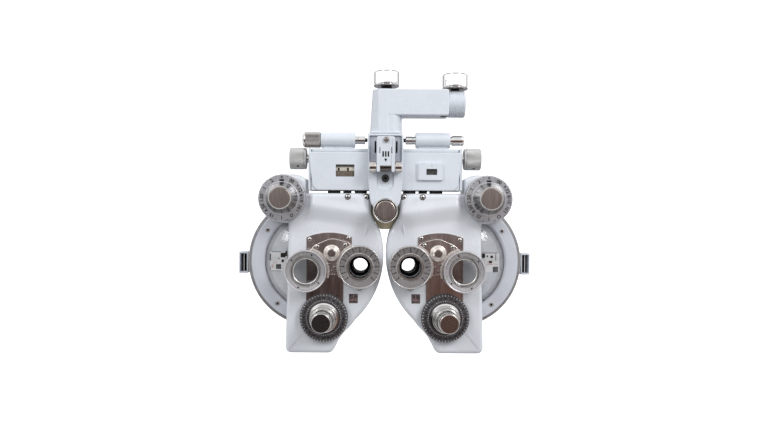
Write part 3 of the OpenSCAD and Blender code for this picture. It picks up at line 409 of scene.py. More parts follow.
# A finish with shade takes its lighter tone from the panel, and its darker tone is that share of it
RECIPES = {
    # Cool white powder coat on cast aluminium: even and glossy, with a faint orange peel
    "powder_coat_white": dict(
        shade=0.95, rough=(0.24, 0.32), size=22, bump=0.03, bump_size=1.6, coating=0.35, IOR=1.5
    ),
    # The same coat on the ribbed collar and smaller castings, a little rougher
    "powder_coat_fine": dict(shade=0.94, rough=(0.3, 0.4), size=14, bump=0.03, bump_size=1.2, coating=0.2),
    # Whiter gloss enamel of the head casings
    "gloss_enamel": dict(
        shade=0.94, rough=(0.22, 0.3), size=26, bump=0.02, bump_size=1.8, coating=0.4, IOR=1.5
    ),
    # Greyer enamel of the drum rings
    "drum_enamel": dict(shade=0.91, rough=(0.3, 0.4), size=18, bump=0.02, bump_size=1.4, coating=0.2),
    # Grey coat on the floor of the hanger's channel: painted shade for the recess, darker than the white coat round it
    "powder_coat_grey": dict(tones=("#A4A8B3", "#B0B4BE"), rough=(0.4, 0.5), size=10, bump=0.03),
    # Grey steel of flanges and thin bands
    "steel_grey": dict(tones=("#8D8B8C", "#A3A1A1"), rough=(0.12, 0.22), size=2, Metallic=1.0),
    # Dark spring steel of coils and small screws
    "spring_steel": dict(tones=("#77706C", "#958E8A"), rough=(0.16, 0.28), size=1.2, Metallic=1.0),
    # Satin rings of the units: half matt, so they stay evenly grey
    "satin_ring": dict(tones=("#B3B1B4", "#C2C0C2"), rough=(0.26, 0.38), size=2.0, Metallic=0.55),
    # Warm satin rings of the hubs and the collars beside the units
    "warm_satin": dict(tones=("#CFC6C0", "#DDD5CF"), rough=(0.2, 0.3), size=2.0, Metallic=0.5),
    # Polished chrome plate: mirror bright with slight unevenness of the polish
    "chrome_plate": dict(tones=("#C9C7C6", "#D6D5D5"), rough=(0.05, 0.12), size=5, Metallic=1.0),
    # Chrome of the clamp knobs, paler than the other chrome: painted reflection of the white studio above the
    # instrument
    "chrome_bright": dict(tones=("#F1F0EF", "#F8F8F8"), rough=(0.04, 0.09), size=5, Metallic=1.0),
    # Satin chrome of rods and sleeves, drawn along the axis
    "satin_chrome": dict(
        tones=("#B5AFAB", "#C8C4C1"), rough=(0.14, 0.22), size=0.9, stretch=(0.06, 1, 1), Metallic=1.0
    ),
    # Knurled zinc-plated steel: grey with bright crests
    "knurled_steel": dict(tones=("#A19E9C", "#B7B4B1"), rough=(0.3, 0.42), size=1.2, Metallic=0.7),
    # Light grey knurled aluminium of the pupil distance knobs
    "knurled_aluminium": dict(tones=("#B3B3B2", "#C4C4C3"), rough=(0.35, 0.5), size=1.4, Metallic=0.55),
    # Satin anodised aluminium of dial faces
    "satin_aluminium": dict(
        tones=("#A2A2A6", "#B0B0B4"), rough=(0.3, 0.42), size=3, bump=0.01, bump_size=0.4, Metallic=0.8
    ),
    # Bright turned aluminium of stepped knobs and bezels
    "turned_aluminium": dict(
        tones=("#B9B8B6", "#CBCAC8"), rough=(0.16, 0.26), size=1.0, stretch=(1, 0.1, 1), Metallic=1.0
    ),
    # Dark grey anodised rings that carry the scales
    "anodised_grey": dict(tones=("#8A8687", "#9A9697"), rough=(0.34, 0.46), size=2.5, Metallic=0.7),
    # Darker anodised ring of the cylinder axis
    "anodised_dark": dict(shade=0.7, rough=(0.4, 0.5), size=2.5, Metallic=0.7),
    # Brushed dark nickel caps: fine straight lines, brownish sheen
    "brushed_nickel_dark": dict(
        tones=("#8A807C", "#9C928D"), rough=(0.2, 0.28), size=0.6, stretch=(1, 1, 0.05), Metallic=1.0
    ),
    # Mirror-polished stainless plate that mirrors the dim room in front of it
    "mirror_stainless": dict(
        tones=("#C4BBB7", "#D6CECA"), rough=(0.08, 0.2), size=9, stretch=(1.4, 1, 0.3), Metallic=1.0
    ),
    # Olive-brown painted steel bracket
    "khaki_paint": dict(shade=0.78, rough=(0.38, 0.5), size=5, bump=0.02, bump_size=0.7, Metallic=0.2),
    # Blackened steel of inner blocks and tips; the same finish also makes rings and discs of painted shade in gaps,
    # grooves and screw sockets
    "black_oxide": dict(tones=("#262525", "#35322F"), rough=(0.4, 0.55), size=3, Metallic=0.6),
    # Matt black paint inside sight tubes, which swallows stray light; the same black also makes sheets and rings of
    # painted shade in slot, hole, socket and gap openings
    "matt_black": dict(tones=("#0A0909", "#121111"), rough=(0.7, 0.85), size=2, Specular_IOR_Level=0.1),
    # Moulded black plastic
    "moulded_black": dict(tones=("#1B1B1C", "#252526"), rough=(0.4, 0.5), size=4, bump=0.02, bump_size=0.4),
    # Ink of the marks, pressed into the metal; on the rod holder it also draws two slot openings as painted shade
    "engraving_ink": dict(tones=("#0E0D0E", "#191718"), rough=(0.6, 0.7), size=1.5, Specular_IOR_Level=0.2),
    # Lens disc seen behind the clear window: a darker band at its rim, painted shade for the recess wall and the dome's
    # dim border, then its broad grey face
    "disc_shade": dict(tones=("#8E8E94", "#9C9CA2"), rough=(0.35, 0.45), size=7),
    "disc_grey": dict(tones=("#A9ABB0", "#B8BABF"), rough=(0.35, 0.45), size=9, Metallic=0.3),
    # Printed label board behind the window, and the faint red print on it
    "label_board": dict(tones=("#C4C2C2", "#D3D1D0"), rough=(0.5, 0.6), size=6),
    "label_red": dict(tones=("#B08E88", "#C2A49E"), rough=(0.5, 0.6), size=1.5),
    # Dark smoked scale seen in the power window
    "smoked_scale": dict(tones=("#4A3E40", "#6A5C5E"), rough=(0.2, 0.35), size=2.2),
    # Clear acrylic of the drum's window and of the bubble
    "clear_acrylic": dict(
        tones=("#F2F5F7", "#FFFFFF"), rough=(0.0, 0.02), size=30, Transmission_Weight=1.0, IOR=1.46
    ),
    # Optical glass over a dim cell, tinted dark: painted shade that darkens what lies behind it; it also mirrors a
    # little
    "lens_glass": dict(tones=("#15171A", "#1C1E22"), rough=(0.02, 0.05), size=30, Alpha=0.17),
    # Cradle of the spirit level, and its pale spirit
    "level_brown": dict(tones=("#5B5148", "#72675C"), rough=(0.2, 0.3), size=3),
    "level_light": dict(tones=("#C9C2B2", "#DAD4C6"), rough=(0.15, 0.25), size=3),
    # Printed pupil distance card seen in its window
    "scale_card": dict(tones=("#4F4B4A", "#6B6765"), rough=(0.25, 0.4), size=2.5),
    # Soft white silicone of the forehead pad
    "pad_silicone": dict(tones=("#D4D7DC", "#DEE1E5"), rough=(0.5, 0.62), size=9, bump=0.02),
    # Pale and dark fills of the axis ring's engraving
    "scale_ink_light": dict(tones=("#C9C8C8", "#DCDBDB"), rough=(0.5, 0.6), size=1.5),
    "scale_ink_dark": dict(tones=("#121112", "#1E1C1D"), rough=(0.6, 0.7), size=1.5, Specular_IOR_Level=0.2),
    # Caps of the power knobs, one metal in two tones: painted reflections, dark on the left cap and warm brown on the
    # right
    "cap_dark": dict(tones=("#45413F", "#565150"), rough=(0.22, 0.34), size=0.9, Metallic=0.9),
    "cap_brown": dict(tones=("#75625A", "#8A756B"), rough=(0.22, 0.34), size=0.9, Metallic=0.9),
}


LOOKS = {}


def look(name):
    """A finish by its own name, made the first time that a piece asks for it."""
    if name in LOOKS:
        return LOOKS[name]
    recipe = dict(RECIPES[name])
    if "shade" in recipe:
        light = tuple(getattr(bpy.context.scene.phoropter_colours, name))
        shade = recipe.pop("shade")
        tones = (tuple(shade * c for c in light[:3]) + (1.0,), light)
    else:
        tones = [linear(code) for code in recipe.pop("tones")]
    return new_finish(name, tones, **recipe)


# Arm, collar and clamp knobs


def ring(radius, count=96, about=(0.0, 0.0)):
    """Counter-clockwise circle as a loop."""
    t = np.linspace(0, TAU, count, endpoint=False)
    return np.stack([about[0] + radius * np.cos(t), about[1] + radius * np.sin(t)], 1)


def column_shape(edge):
    """Column: one section with a broad chamfer at its left front, whose left side leans in from the foot to the top;
    the top rim follows a quarter circle."""
    base = [(-15.4, 17.2), (-15.4, -3.0), (-6.8, -9.6), (3.4, -9.6), (3.4, 17.2)]
    loop = even(soft(base, (2, 3, 2.0, 1.8, 2), loop=True), 240)
    rings = [turned(*loop.T, 129.2, "xy")]
    for turn in np.linspace(0, np.pi / 2, 7):
        section = inset(loop, edge * (1 - np.cos(turn)))
        x = np.where(section[:, 0] < -6.8, -6.8 + 0.715 * (section[:, 0] + 6.8), section[:, 0])
        rings.append(turned(x, section[:, 1], 172.95 - edge * (1 - np.sin(turn)), "xy"))
    return np.stack(rings), "caps"


def arm_shapes(edge):
    """Bar and column, a round post at the column's right, and a slab behind them with a small fillet under the bar."""
    bar = [(-6.0, 147.1), (61.6, 147.1), (61.6, 172.9), (-6.0, 172.9)]
    yield slab(even(soft(bar, (0.6, 2.6, 2.6, 0.6), loop=True), 320), -9.5, 17.5, edge, steps=6)
    yield column_shape(edge)
    back = [(0, 129.2), (16.2, 129.2), (16.2, 145.6), (17.9, 147.3), (24.0, 147.3), (24.0, 160), (0, 160)]
    yield slab(even(soft(back, (1, 1, 1.6, 1.4, 1, 1, 1), steps=6, loop=True), 300), -3.0, 17.0, 1.0)
    yield lathe(rod_profile(8.9, 129.2, 150.5), (6.2, -0.5, 0), "z", 96)
    # Raised rim at the foot of the column, over the hanger
    yield rounded((-16.0, 15.6, -9.9, 17.9, 5.0), 200, 129.2, 131.4, 0.8, plane="xy")


def collar_profile():
    """Ribs of the collar: rounded rings along the axis, closed by the bore of the socket."""
    ribs = [(0, 58), (12.9, 58), (12.9, 62.2)]
    for k in range(8):
        x = 62.3 + k * 1.87
        ribs += [(12.8, x), (13.2, x + 0.25), (13.2, x + 1.35), (12.8, x + 1.6)]
    return ribs + [(12.5, 77.4), (12.1, 77.8), (8.5, 77.8), (8.0, 77.3), (8.0, 60.0), (0, 60.0)]


class PHOROPTER_OT_arm(bpy.types.Operator):
    """Cast support arm with its rounded column and the ribbed collar of the stand socket"""

    bl_idname = "phoropter.arm"
    bl_label = "Support arm"

    def execute(self, context):
        size = context.scene.phoropter_sizes
        piece(
            "arm_casting",
            arm_shapes(size.arm_edge),
            "powder_coat_white",
            "arm",
            ["support_arm"],
        )
        # Black disc in the lightening hole under the bar: painted shade for the hole's inside
        piece("arm_lightening_hole", [lathe(rod_profile(3.4, 146.95, 147.6), (56.6, 0, 0), "z", 32)],
              "matt_black", "arm")
        collar = lathe(collar_profile(), (0, *SOCKET[1:]), "x", 96)
        piece("arm_collar", [collar], "powder_coat_fine", "arm", ["stand_collar"])
        return {"FINISHED"}


class PHOROPTER_OT_clamp_knobs(bpy.types.Operator):
    """Polished clamp knobs over the column and over the collar: flange, waisted grip and crowned top, with a grey band
    of painted shadow at the crown's edge
    """

    bl_idname = "phoropter.clamp_knobs"
    bl_label = "Clamp knobs"

    def execute(self, context):
        r, height = 12.6, 15.4
        for name, at, base, neck, low in (
            ("column_knob", (0.8, 4.0, 0), 176.35, 5.4, 172.9),
            ("collar_knob", (68.3, 4.0, 0), 173.9, 4.4, 171.0),
        ):
            top = base + height
            grip = [
                (0, base + 1.6), (11.7, base + 1.6), (11.7, base + 2.5), (12.3, base + 3.1), (12.3, top - 1.4),
                (11.6, top - 0.3), (10.8, top), (0, top),
            ]
            piece(
                name + "_grip",
                [lathe(soft(grip, 0.3, 2), at, "z", 128)],
                "chrome_bright",
                name,
                [name],
            )
            flange = soft(
                [
                    (0, base), (8.6, base), (r - 0.6, base + 0.2), (r, base + 0.8), (r, base + 1.6),
                    (r - 0.7, base + 2.1), (0, base + 2.1),
                ],
                0.25,
                2,
            )
            # Grey band round the crown's edge: painted shadow line
            band = np.array(
                [
                    (10.9, top - 0.15), (11.7, top - 0.35), (12.35, top - 1.3), (12.0, top - 1.3),
                    (11.5, top - 0.8), (10.9, top - 0.6),
                ],
            )
            band = np.vstack([band, band[:1]])
            piece(
                name + "_flange",
                [lathe(flange, at, "z", 128), lathe(band, at, "z", 128)],
                "steel_grey",
                name,
            )
            stem = rod_profile(neck, low, base + 0.4)
            shapes = [lathe(stem, at, "z", 64), lathe(rod_profile(3.1, low - 6, low + 1), at, "z", 32)]
            piece(name + "_neck", shapes, "black_oxide", name)
        return {"FINISHED"}


# Hanger and rod holder

# Height of the axis that the crossbar tilts about
TILT_AXIS = 85.5


def hanger_outline():
    """Tapered plate whose lower end goes behind the forehead knob."""
    side = [
        (14.5, 62.0), (17.4, 86.0), (17.4, 128.9), (-17.4, 128.9), (-17.4, 86.0), (-14.5, 62.0), (-8.5, 53.0),
        (8.5, 53.0),
    ]
    return even(soft(side, (4, 9, 1.2, 1.2, 9, 4, 3, 3), loop=True), 420)


def cut_away(obj, cutters):
    """Take closed cutters out of a piece with an exact Boolean, then clear them."""
    obj.modifiers.clear()
    for cutter in cutters:
        modifier = obj.modifiers.new("cut", "BOOLEAN")
        modifier.operation = "DIFFERENCE"
        modifier.solver = "EXACT"
        modifier.object = cutter
        with bpy.context.temp_override(object=obj, active_object=obj):
            bpy.ops.object.modifier_apply(modifier=modifier.name)
        bpy.data.objects.remove(cutter)
    obj.data.shade_smooth()
    obj.data.set_sharp_from_angle(angle=np.radians(32))
    flatten(obj)


def cutter(shapes, side=0):
    """Loose object made of closed shapes, for cut_away."""
    obj = piece("cutter", shapes, "matt_black", "arm", side=side)
    obj.parent = None
    return obj


class PHOROPTER_OT_hanger(bpy.types.Operator):
    """Long tapered hanger with its saddle, black slot sheets of painted shade, pivot recess and cap"""

    bl_idname = "phoropter.hanger"
    bl_label = "Hanger"

    def execute(self, context):
        white = "powder_coat_white"
        edge = context.scene.phoropter_sizes.casting_edge
        plate = slab(hanger_outline(), -11.0, -5.5, edge, 0.4, steps=5)
        obj = piece("hanger_plate", [plate], white, "hanger", ["hanger"])
        pocket = rect(-8.4, 8.4, 74.0, 97.5, 7.9, 8)
        channel = rect(-15.8, 15.8, 101.6, 127.0, 1.6)
        cut_away(
            obj,
            [
                cutter([slab(even(pocket, 200), -14.0, -8.4, 0.01, 2.2, steps=5)]),
                cutter([slab(even(channel, 200), -12.0, -8.2, 0.01)]),
            ],
        )
        # Grey sheet on the channel's floor: painted shade for the recess
        floor = rounded((-15.6, 15.6, 101.8, 126.8, 1.4), 160, -8.5, -8.0, 0.1)
        piece("hanger_channel", [floor], "powder_coat_grey", "hanger")
        # Black sheets at the two slot places: painted shade for the slot insides
        slot_shade = [rounded((x - 0.85, x + 0.85, 110.2, 121.9, 0.8), 60, -8.6, -8.2, 0.02) for x in (-9.8, 10.8)]
        piece("hanger_slots", slot_shade, "matt_black", "hanger")
        saddle = rounded((-17.4, 17.4, -7.7, 17.5, 3.5), 240, 117.6, 128.9, 1.0, plane="xy")
        spindle = lathe(rod_profile(7, 117, 172.2), (0.8, 4, 0), "z", 48)
        journal = lathe(rod_profile(5, -9.0, 18.9), (0, 0, TILT_AXIS), "y", 48)
        piece("hanger_saddle", [saddle, spindle, journal], white, "hanger")
        cap = soft([(0, -12.6), (3.1, -12.6), (3.8, -12.0), (3.8, -9.2), (0, -9.2)], 0.5)
        piece(
            "hanger_pivot_cap",
            [lathe(cap, (0, 0, TILT_AXIS), "y", 48)],
            "moulded_black",
            "hanger",
        )
        # Black hexagon in the cap: painted shade for its hex socket
        hexagon = ring(1.5, 6, (0, TILT_AXIS))
        piece(
            "hanger_cap_socket", [slab(hexagon, -12.68, -12.0, 0.02)], "matt_black", "hanger"
        )
        lugs = [
            rounded((s * 12.55 - 2.75, s * 12.55 + 2.75, 91.4, 100.6, 1.2), 80, -17.5, -10.5, 0.6, plane="xz")
            for s in (-1, 1)
        ]
        piece("hanger_lugs", lugs, white, "hanger")
        return {"FINISHED"}


class PHOROPTER_OT_rod_holder(bpy.types.Operator):
    """Folding holder for the reading rod: plate with two prongs, fluted barrel, chrome hinge sleeves"""

    bl_idname = "phoropter.rod_holder"
    bl_label = "Rod holder"

    def execute(self, context):
        white, ink = "powder_coat_white", "engraving_ink"
        plate = rounded((-8.7, 8.7, 96.6, 124.9, 2.4), 220, -23.9, -21.3, 0.7)
        prongs = [
            rounded((s * 7.1 - 1.6, s * 7.1 + 1.6, 90.8, 108, 1.2), 90, -25.0, -14.2, 0.6) for s in (-1, 1)
        ]
        rails = [rounded((s * 7.4 - 0.9, s * 7.4 + 0.9, 97, 124.0, 0.8), 90, -24.7, -22, 0.5) for s in (-1, 1)]
        piece("holder_plate", [plate, *prongs, *rails], white, "rod_holder", ["rod_holder"])
        coils = [(0, -7.4)]
        for k in range(9):
            x = -7.2 + 1.62 * k
            coils += [(4.1, x), (4.9, x + 0.45), (4.9, x + 0.95), (4.1, x + 1.4)]
        piece(
            "holder_spring", [lathe(coils + [(0, 7.3)], HINGE, "x", 64)], "spring_steel", "rod_holder"
        )
        screw = soft([(0, -26.8), (1.7, -26.8), (2.6, -25.9), (2.6, -23.5), (0, -23.5)], 0.5)
        piece("holder_screw", [lathe(screw, (0.5, 0, 121.6), "y", 40)], "spring_steel", "rod_holder")
        # Ink bars at the two slot places: painted shade for the slot insides
        slot_shade = bars(
            [(s * 5.6 - 0.35, -23.98, 108.5) for s in (-1, 1)],
            [(s * 5.6 + 0.35, -23.8, 114.5) for s in (-1, 1)],
        )
        marks = bars(
            [(x - 0.75, -23.98, 105.3) for x in (-2.5, 0, 2.5)],
            [(x + 0.75, -23.8, 110.6) for x in (-2.5, 0, 2.5)],
        )
        arrow = slab(even(np.array([(0, 100.4), (1.5, 103.6), (-1.5, 103.6)], float), 30), -23.98, -23.8, 0.01)
        piece("holder_marks", [slot_shade, marks, arrow], ink, "rod_holder")
        sleeve = soft([(0, 8.9), (4.9, 8.9), (5.3, 9.4), (5.3, 15.1), (4.9, 15.6), (0, 15.6)], 0.3)
        pin = lathe(rod_profile(2.4, -15.5, 15.5), HINGE, "x", 32)
        shapes = [lathe(facing(sleeve, s), HINGE, "x", 64) for s in (1, -1)] + [pin]
        piece("hinge_sleeves", shapes, "satin_chrome", "hanger", ["hinge_pin"])
        return {"FINISHED"}


# Crossbar, levelling and pupil distance


def bar_loop(grow=0.0):
    """Front of the crossbar: a little narrower at its foot, with cut lower corners."""
    g = grow
    p = [
        (-71.2 - g, 78.2), (-67.1, 74.1 - g), (67.1, 74.1 - g), (71.2 + g, 78.2), (75.4 + g, 111.5 + g),
        (-75.4 - g, 111.5 + g),
    ]
    return even(soft(p, (1.5, 1.5, 1.5, 1.5, 2.0, 2.0), loop=True), 520)


class PHOROPTER_OT_crossbar(bpy.types.Operator):
    """Crossbar with its front covers, spirit level window and raised pupil distance scale"""

    bl_idname = "phoropter.crossbar"
    bl_label = "Crossbar"

    def execute(self, context):
        white = "powder_coat_white"
        front = slab(bar_loop(), -4.0, -1.5, 0.9, 0.2)
        cover = piece("bar_cover", [front], white, "crossbar", ["crossbar_covers"])
        vial = rounded((-48.5, -30.3, 87.4, 99.3, 0.5), 80, -6, 0, 0.01)
        scale_window = (39.9, 50.4, 89.3, 95.2, 0.4)
        window = rounded(scale_window, 80, -12, 0, 0.01)
        centre_gap = rounded((-13.3, 13.3, 70, 115, 0.4), 80, -6, 0, 0.01)
        cut_away(cover, [cutter([vial, window]), cutter([centre_gap])])
        halves = piece("scale_boss", [boss_shape()], white, "crossbar")
        cut_away(halves, [cutter([rounded(scale_window, 80, -12, 0, 0.01)])])
        rear = rounded((-75.4, 75.4, 74.1, 115.4, 2.0), 480, 19.4, 22.0, 0.8)
        top = rounded((-72.9, 72.9, 1.0, 21.8, 2.5), 480, 111.3, 115.5, 1.2, plane="xy")
        block = rounded((-13, 13, -1.5, 21.9, 0.8), 120, 74.1, 115.4, 0.6, plane="xy")
        ends = [
            rounded((*sorted((s * 72.9, s * 75.5)), 74.1, 115.4, 0.8), 160, -1.4, 22.0, 0.5) for s in (-1, 1)
        ]
        corners = [
            rounded((*sorted((s * 64.0, s * 72.3)), 74.3, 84.0, 0.6), 80, -2.6, -0.6, 0.2) for s in (-1, 1)
        ]
        piece("bar_frame", [rear, top, block, *ends, *corners], white, "crossbar", ["crossbar"])
        rails = [
            lathe(rod_profile(4.5, a, b), (0, 13, 88), "x", 48) for a, b in ((-73.5, -12.5), (12.5, 73.5))
        ]
        piece("bar_rails", rails, "satin_chrome", "crossbar")
        sleeves = []
        for a, b in ((-63.6, -29.7), (29.7, 63.6)):
            sleeve = soft([(0, a), (7.3, a), (7.7, a + 0.5), (7.7, b - 0.5), (7.3, b), (0, b)], 0.3)
            sleeves.append(lathe(sleeve, LEVEL_AXIS, "x", 96))
            foot = rect(a + 2.2, b - 2.2, 114.8, 122, 1.0)
            sleeves.append(slab(even(foot, 160), 1.8, 11.2, 1.4))
        piece("levelling_sleeves", sleeves, "powder_coat_white", "crossbar")
        return {"FINISHED"}


def boss_shape():
    """Raised panel over the scale: its left flank is a broad hollow bevel, its foot a narrow one, and the other two
    rims are square. Rings run from the outer loop to the inner one while the depth follows a quarter sine."""
    loop = even(rect(29.2, 56.0, 83.4, 100.8, 1.6), 320)
    inner = even(rect(33.3, 55.8, 84.5, 100.6, 1.4), 320)
    t = np.linspace(0, 1, 9)[:, None]
    rings = loop * (1 - t[..., None]) + inner * t[..., None]
    depth = -4.0 - 3.2 * np.sin(t * np.pi / 2) ** 1.4
    grid = turned(rings[..., 0], rings[..., 1], depth, "xz")
    base = turned(loop[:, 0], loop[:, 1], -3.2, "xz")[None]
    return np.concatenate([base, grid]), "caps"


def facing(profile, s):
    """A profile along x as it is for the right side, or mirrored for the left."""
    return [(r, s * x) for r, x in (profile if s > 0 else profile[::-1])]


def knurled_knob(x0, x1, radius, at, teeth, groove=()):
    """Knob along x from x0 to x1 with an axial knurl between two smooth chamfered rims; grooves are rings cut in it."""
    low, high = sorted((x0, x1))
    p = [(0, low), (radius - 0.9, low), (radius, low + 0.7), (radius, low + 1.3)]
    for g in sorted(groove):
        p += [(radius, g - 0.4), (radius - 0.7, g - 0.25), (radius - 0.7, g + 0.25), (radius, g + 0.4)]
    p += [(radius, high - 1.3), (radius, high - 0.7), (radius - 0.9, high), (0, high)]
    return lathe(p, at, "x", teeth * 4, teeth, 0.35, (low + 1.1, high - 1.1))


class PHOROPTER_OT_levelling(bpy.types.Operator):
    """Levelling knob, its rod and tip, and the sprung plunger on the other side"""

    bl_idname = "phoropter.levelling"
    bl_label = "Levelling"

    def execute(self, context):
        at = LEVEL_AXIS
        knob = knurled_knob(-79.0, -63.9, 7.7, at, 60)
        piece("level_knob_grip", [knob], "knurled_steel", "level_knob", ["level_knob"])
        cap = soft([(0, -81.7), (4.6, -81.7), (6.9, -80.9), (7.5, -79.6), (7.5, -78.9), (0, -78.9)], 0.5)
        screw = lathe(rod_profile(4.1, -64.5, -46.6), at, "x", 48)
        piece("level_knob_cap", [lathe(cap, at, "x", 96), screw], "chrome_plate", "level_knob")
        for name, s in (("level_rod", -1), ("level_plunger", 1)):
            end = 44.3 if s < 0 else 67.7
            tip = [(0, 17.75), (1.4, 17.75), (2.0, 18.3), (2.0, 20.2), (0, 20.2)]
            rod = [
                (0, 19.9), (3.7, 19.9), (4.1, 20.3), (4.1, 26.6), (3.85, 26.9), (3.85, 27.6), (4.1, 27.9),
                (4.1, end), (0, end),
            ]
            piece(
                name + "_tip", [lathe(facing(tip, s), at, "x", 40)], "black_oxide", name, [name]
            )
            shapes = [lathe(facing(rod, s), at, "x", 64)]
            if s > 0:
                tail = soft([(0, 65.6), (5.2, 65.6), (5.2, 75.6), (4.7, 77.0), (3.2, 77.5), (0, 77.5)], 0.4)
                shapes.append(lathe(tail, at, "x", 64))
            piece(name + "_body", shapes, "chrome_plate", name)
        return {"FINISHED"}


class PHOROPTER_OT_distance_knobs(bpy.types.Operator):
    """Pupil distance shaft with a light knurled knob at each end"""

    bl_idname = "phoropter.distance_knobs"
    bl_label = "Distance knobs"

    def execute(self, context):
        at = DISTANCE_AXIS
        teeth = context.scene.phoropter_sizes.knob_teeth
        knobs = [knurled_knob(s * 77.9, s * 94.5, 10.7, at, teeth, [s * 79.9]) for s in (-1, 1)]
        piece("distance_knobs", knobs, "knurled_aluminium", "pd_screw", ["pd_screw"])
        shaft = lathe(rod_profile(4, -78.5, 78.5), at, "x", 48)
        piece("distance_shaft", [shaft], "satin_chrome", "pd_screw")
        dots = []
        for x, turn in ((-86.0, 0.83), (87.3, 1.05)):
            dot, kind = lathe(rod_profile(1.1, -10.85, -9.6), (0, 0, 0), "y", 24)
            y, z = dot[..., 1].copy(), dot[..., 2].copy()
            dot[..., 0] += x
            dot[..., 1] = at[1] + y * np.cos(turn) - z * np.sin(turn)
            dot[..., 2] = at[2] + y * np.sin(turn) + z * np.cos(turn)
            dots.append((dot, kind))
        piece("distance_set_screws", dots, "black_oxide", "pd_screw")
        return {"FINISHED"}


class PHOROPTER_OT_windows(bpy.types.Operator):
    """Spirit level in its cradle and the pane with the pupil distance scale"""

    bl_idname = "phoropter.windows"
    bl_label = "Level and scale"

    def execute(self, context):
        vial = lathe(
            soft([(0, -49.3), (3.2, -49.3), (3.72, -48.4), (3.72, -30.4), (3.2, -29.5), (0, -29.5)], 0.3),
            (0, 2.6, 94.3),
            "x",
            48,
        )
        piece("level_vial", [vial], "level_light", "crossbar", ["crossbar_windows"])
        cradle = rounded((-49.4, -29.4, 86.5, 93.2, 0.4), 60, -1.4, 6.0, 0.3)
        piece("level_cradle", [cradle], "level_brown", "crossbar")
        back = rounded((-49.4, -29.4, 86.5, 100.2, 0.4), 60, 4.0, 6.2, 0.3)
        piece("level_back", [back], "label_board", "crossbar")
        lines = bars([(-46.6, -1.25, 92.7), (-37.6, -1.25, 92.7)], [(-44.8, 0.4, 96.2), (-35.8, 0.4, 96.2)])
        bubble = lathe(
            soft([(0, -43.6), (1.0, -43.6), (1.5, -42.8), (1.5, -40.0), (1.0, -39.2), (0, -39.2)], 0.3),
            (0, -0.4, 95.2),
            "x",
            24,
        )
        piece("level_lines", [lines], "engraving_ink", "crossbar")
        piece("level_bubble", [bubble], "clear_acrylic", "crossbar")
        pane = rounded((38.1, 51.4, 88.2, 96.0, 0.3), 60, -1.5, -0.3, 0.2)
        piece("scale_pane", [pane], "scale_card", "crossbar")
        ticks = bars(
            [(40.6 + 1.15 * k, -1.56, 89.6) for k in range(9)],
            [(40.8 + 1.15 * k, -1.4, 91.3 + 1.0 * (k % 4 == 0)) for k in range(9)],
        )
        dot = lathe(rod_profile(0.42, -7.26, -7.0), (45.2, 0, 97.9), "y", 20)
        piece("scale_marks", [ticks, dot], "engraving_ink", "crossbar")
        return {"FINISHED"}


# Forehead rest and carriages


class PHOROPTER_OT_forehead(bpy.types.Operator):
    """Forehead knob in front of the hanger's lobe, its bracket behind, and the curved pad"""

    bl_idname = "phoropter.forehead"
    bl_label = "Forehead rest"

    def execute(self, context):
        at = BROW
        rim = [
            (0, -24.9), (10.3, -24.9), (10.5, -26.0), (11.1, -26.2), (11.8, -25.4), (11.8, -13.2),
            (11.0, -12.2), (0, -12.2),
        ]
        rim = soft(rim, 0.3)
        piece(
            "forehead_knob_rim",
            [lathe(rim, at, "y", 192, 60, 0.4, (-24.2, -14.0)), lathe(rod_profile(3, -13, 35.7), at, "y", 40)],
            "turned_aluminium",
            "forehead_knob",
            ["forehead_knob"],
        )
        # Black ring between rim and cap: painted shade for the gap
        gap = tube_profile(9.4, 10.35, -25.0, -24.7)
        piece("forehead_knob_gap", [lathe(gap, at, "y", 96)], "black_oxide", "forehead_knob")
        cap = soft([(0, -26.4), (8.8, -26.4), (9.7, -25.9), (9.7, -24.6), (0, -24.6)], 0.4)
        piece("forehead_knob_cap", [lathe(cap, at, "y", 96)], "brushed_nickel_dark", "forehead_knob")
        x = np.array([-13.9, -13.9, -5.4, 5.4, 13.9, 13.9])
        z = np.array([73.9, 51.0, 36.2, 36.2, 51.0, 73.9])
        plate = slab(even(soft(np.stack([x, z], 1), (0.6, 1, 2, 2, 1, 0.6), loop=True), 260), 6.0, 19.4, 0.8)
        boss = lathe(soft([(0, 18.0), (8.9, 18.0), (8.9, 41.4), (8.3, 42.0), (0, 42.0)], 0.4), at, "y", 96)
        piece("rest_bracket_plate", [plate, boss], "khaki_paint", "crossbar", ["rest_bracket"])
        # Curved pad: an upright strip bent about the forehead, with rounded rims
        u, v = np.linspace(-1, 1, 61)[:, None], np.linspace(0, TAU, 24, endpoint=False)[None, :]
        half = 10.6 * (1 - 0.55 * np.abs(u) ** 6)
        cross = np.abs(np.cos(v)) ** 0.55 * np.sign(np.cos(v)), np.abs(np.sin(v)) ** 0.8 * np.sign(np.sin(v))
        wide = 24.6 * u
        grid = np.stack(
            np.broadcast_arrays(wide, 50.4 + wide**2 / 150 + 2.4 * cross[1], at[2] + half * cross[0]), -1
        )
        stem = lathe(rod_profile(6.5, 18.5, 49.5), at, "y", 64)
        piece(
            "forehead_pad", [(grid, "caps")], "pad_silicone", "forehead_rest", ["forehead_rest"]
        )
        piece("forehead_stem", [stem], "satin_chrome", "forehead_rest")
        return {"FINISHED"}


# Casing of a head

# Wall of the front cover, its sight hole, and the radius of the ear round the auxiliary dial
WALL, SIGHT_HOLE, EAR = 2.3, 9.9, 24.3
# Front of the turret plate, and the reach from its pivot to a unit's axis
TURRET_FRONT, TURRET_REACH = -11.5, 30.19


def lobe(u0, z0, radius, low, high, count=60):
    """Arc of a circle about (u0, z0) between two angles in degrees."""
    t = np.radians(np.linspace(low, high, count))
    return np.stack([u0 + radius * np.cos(t), z0 + radius * np.sin(t)], 1)


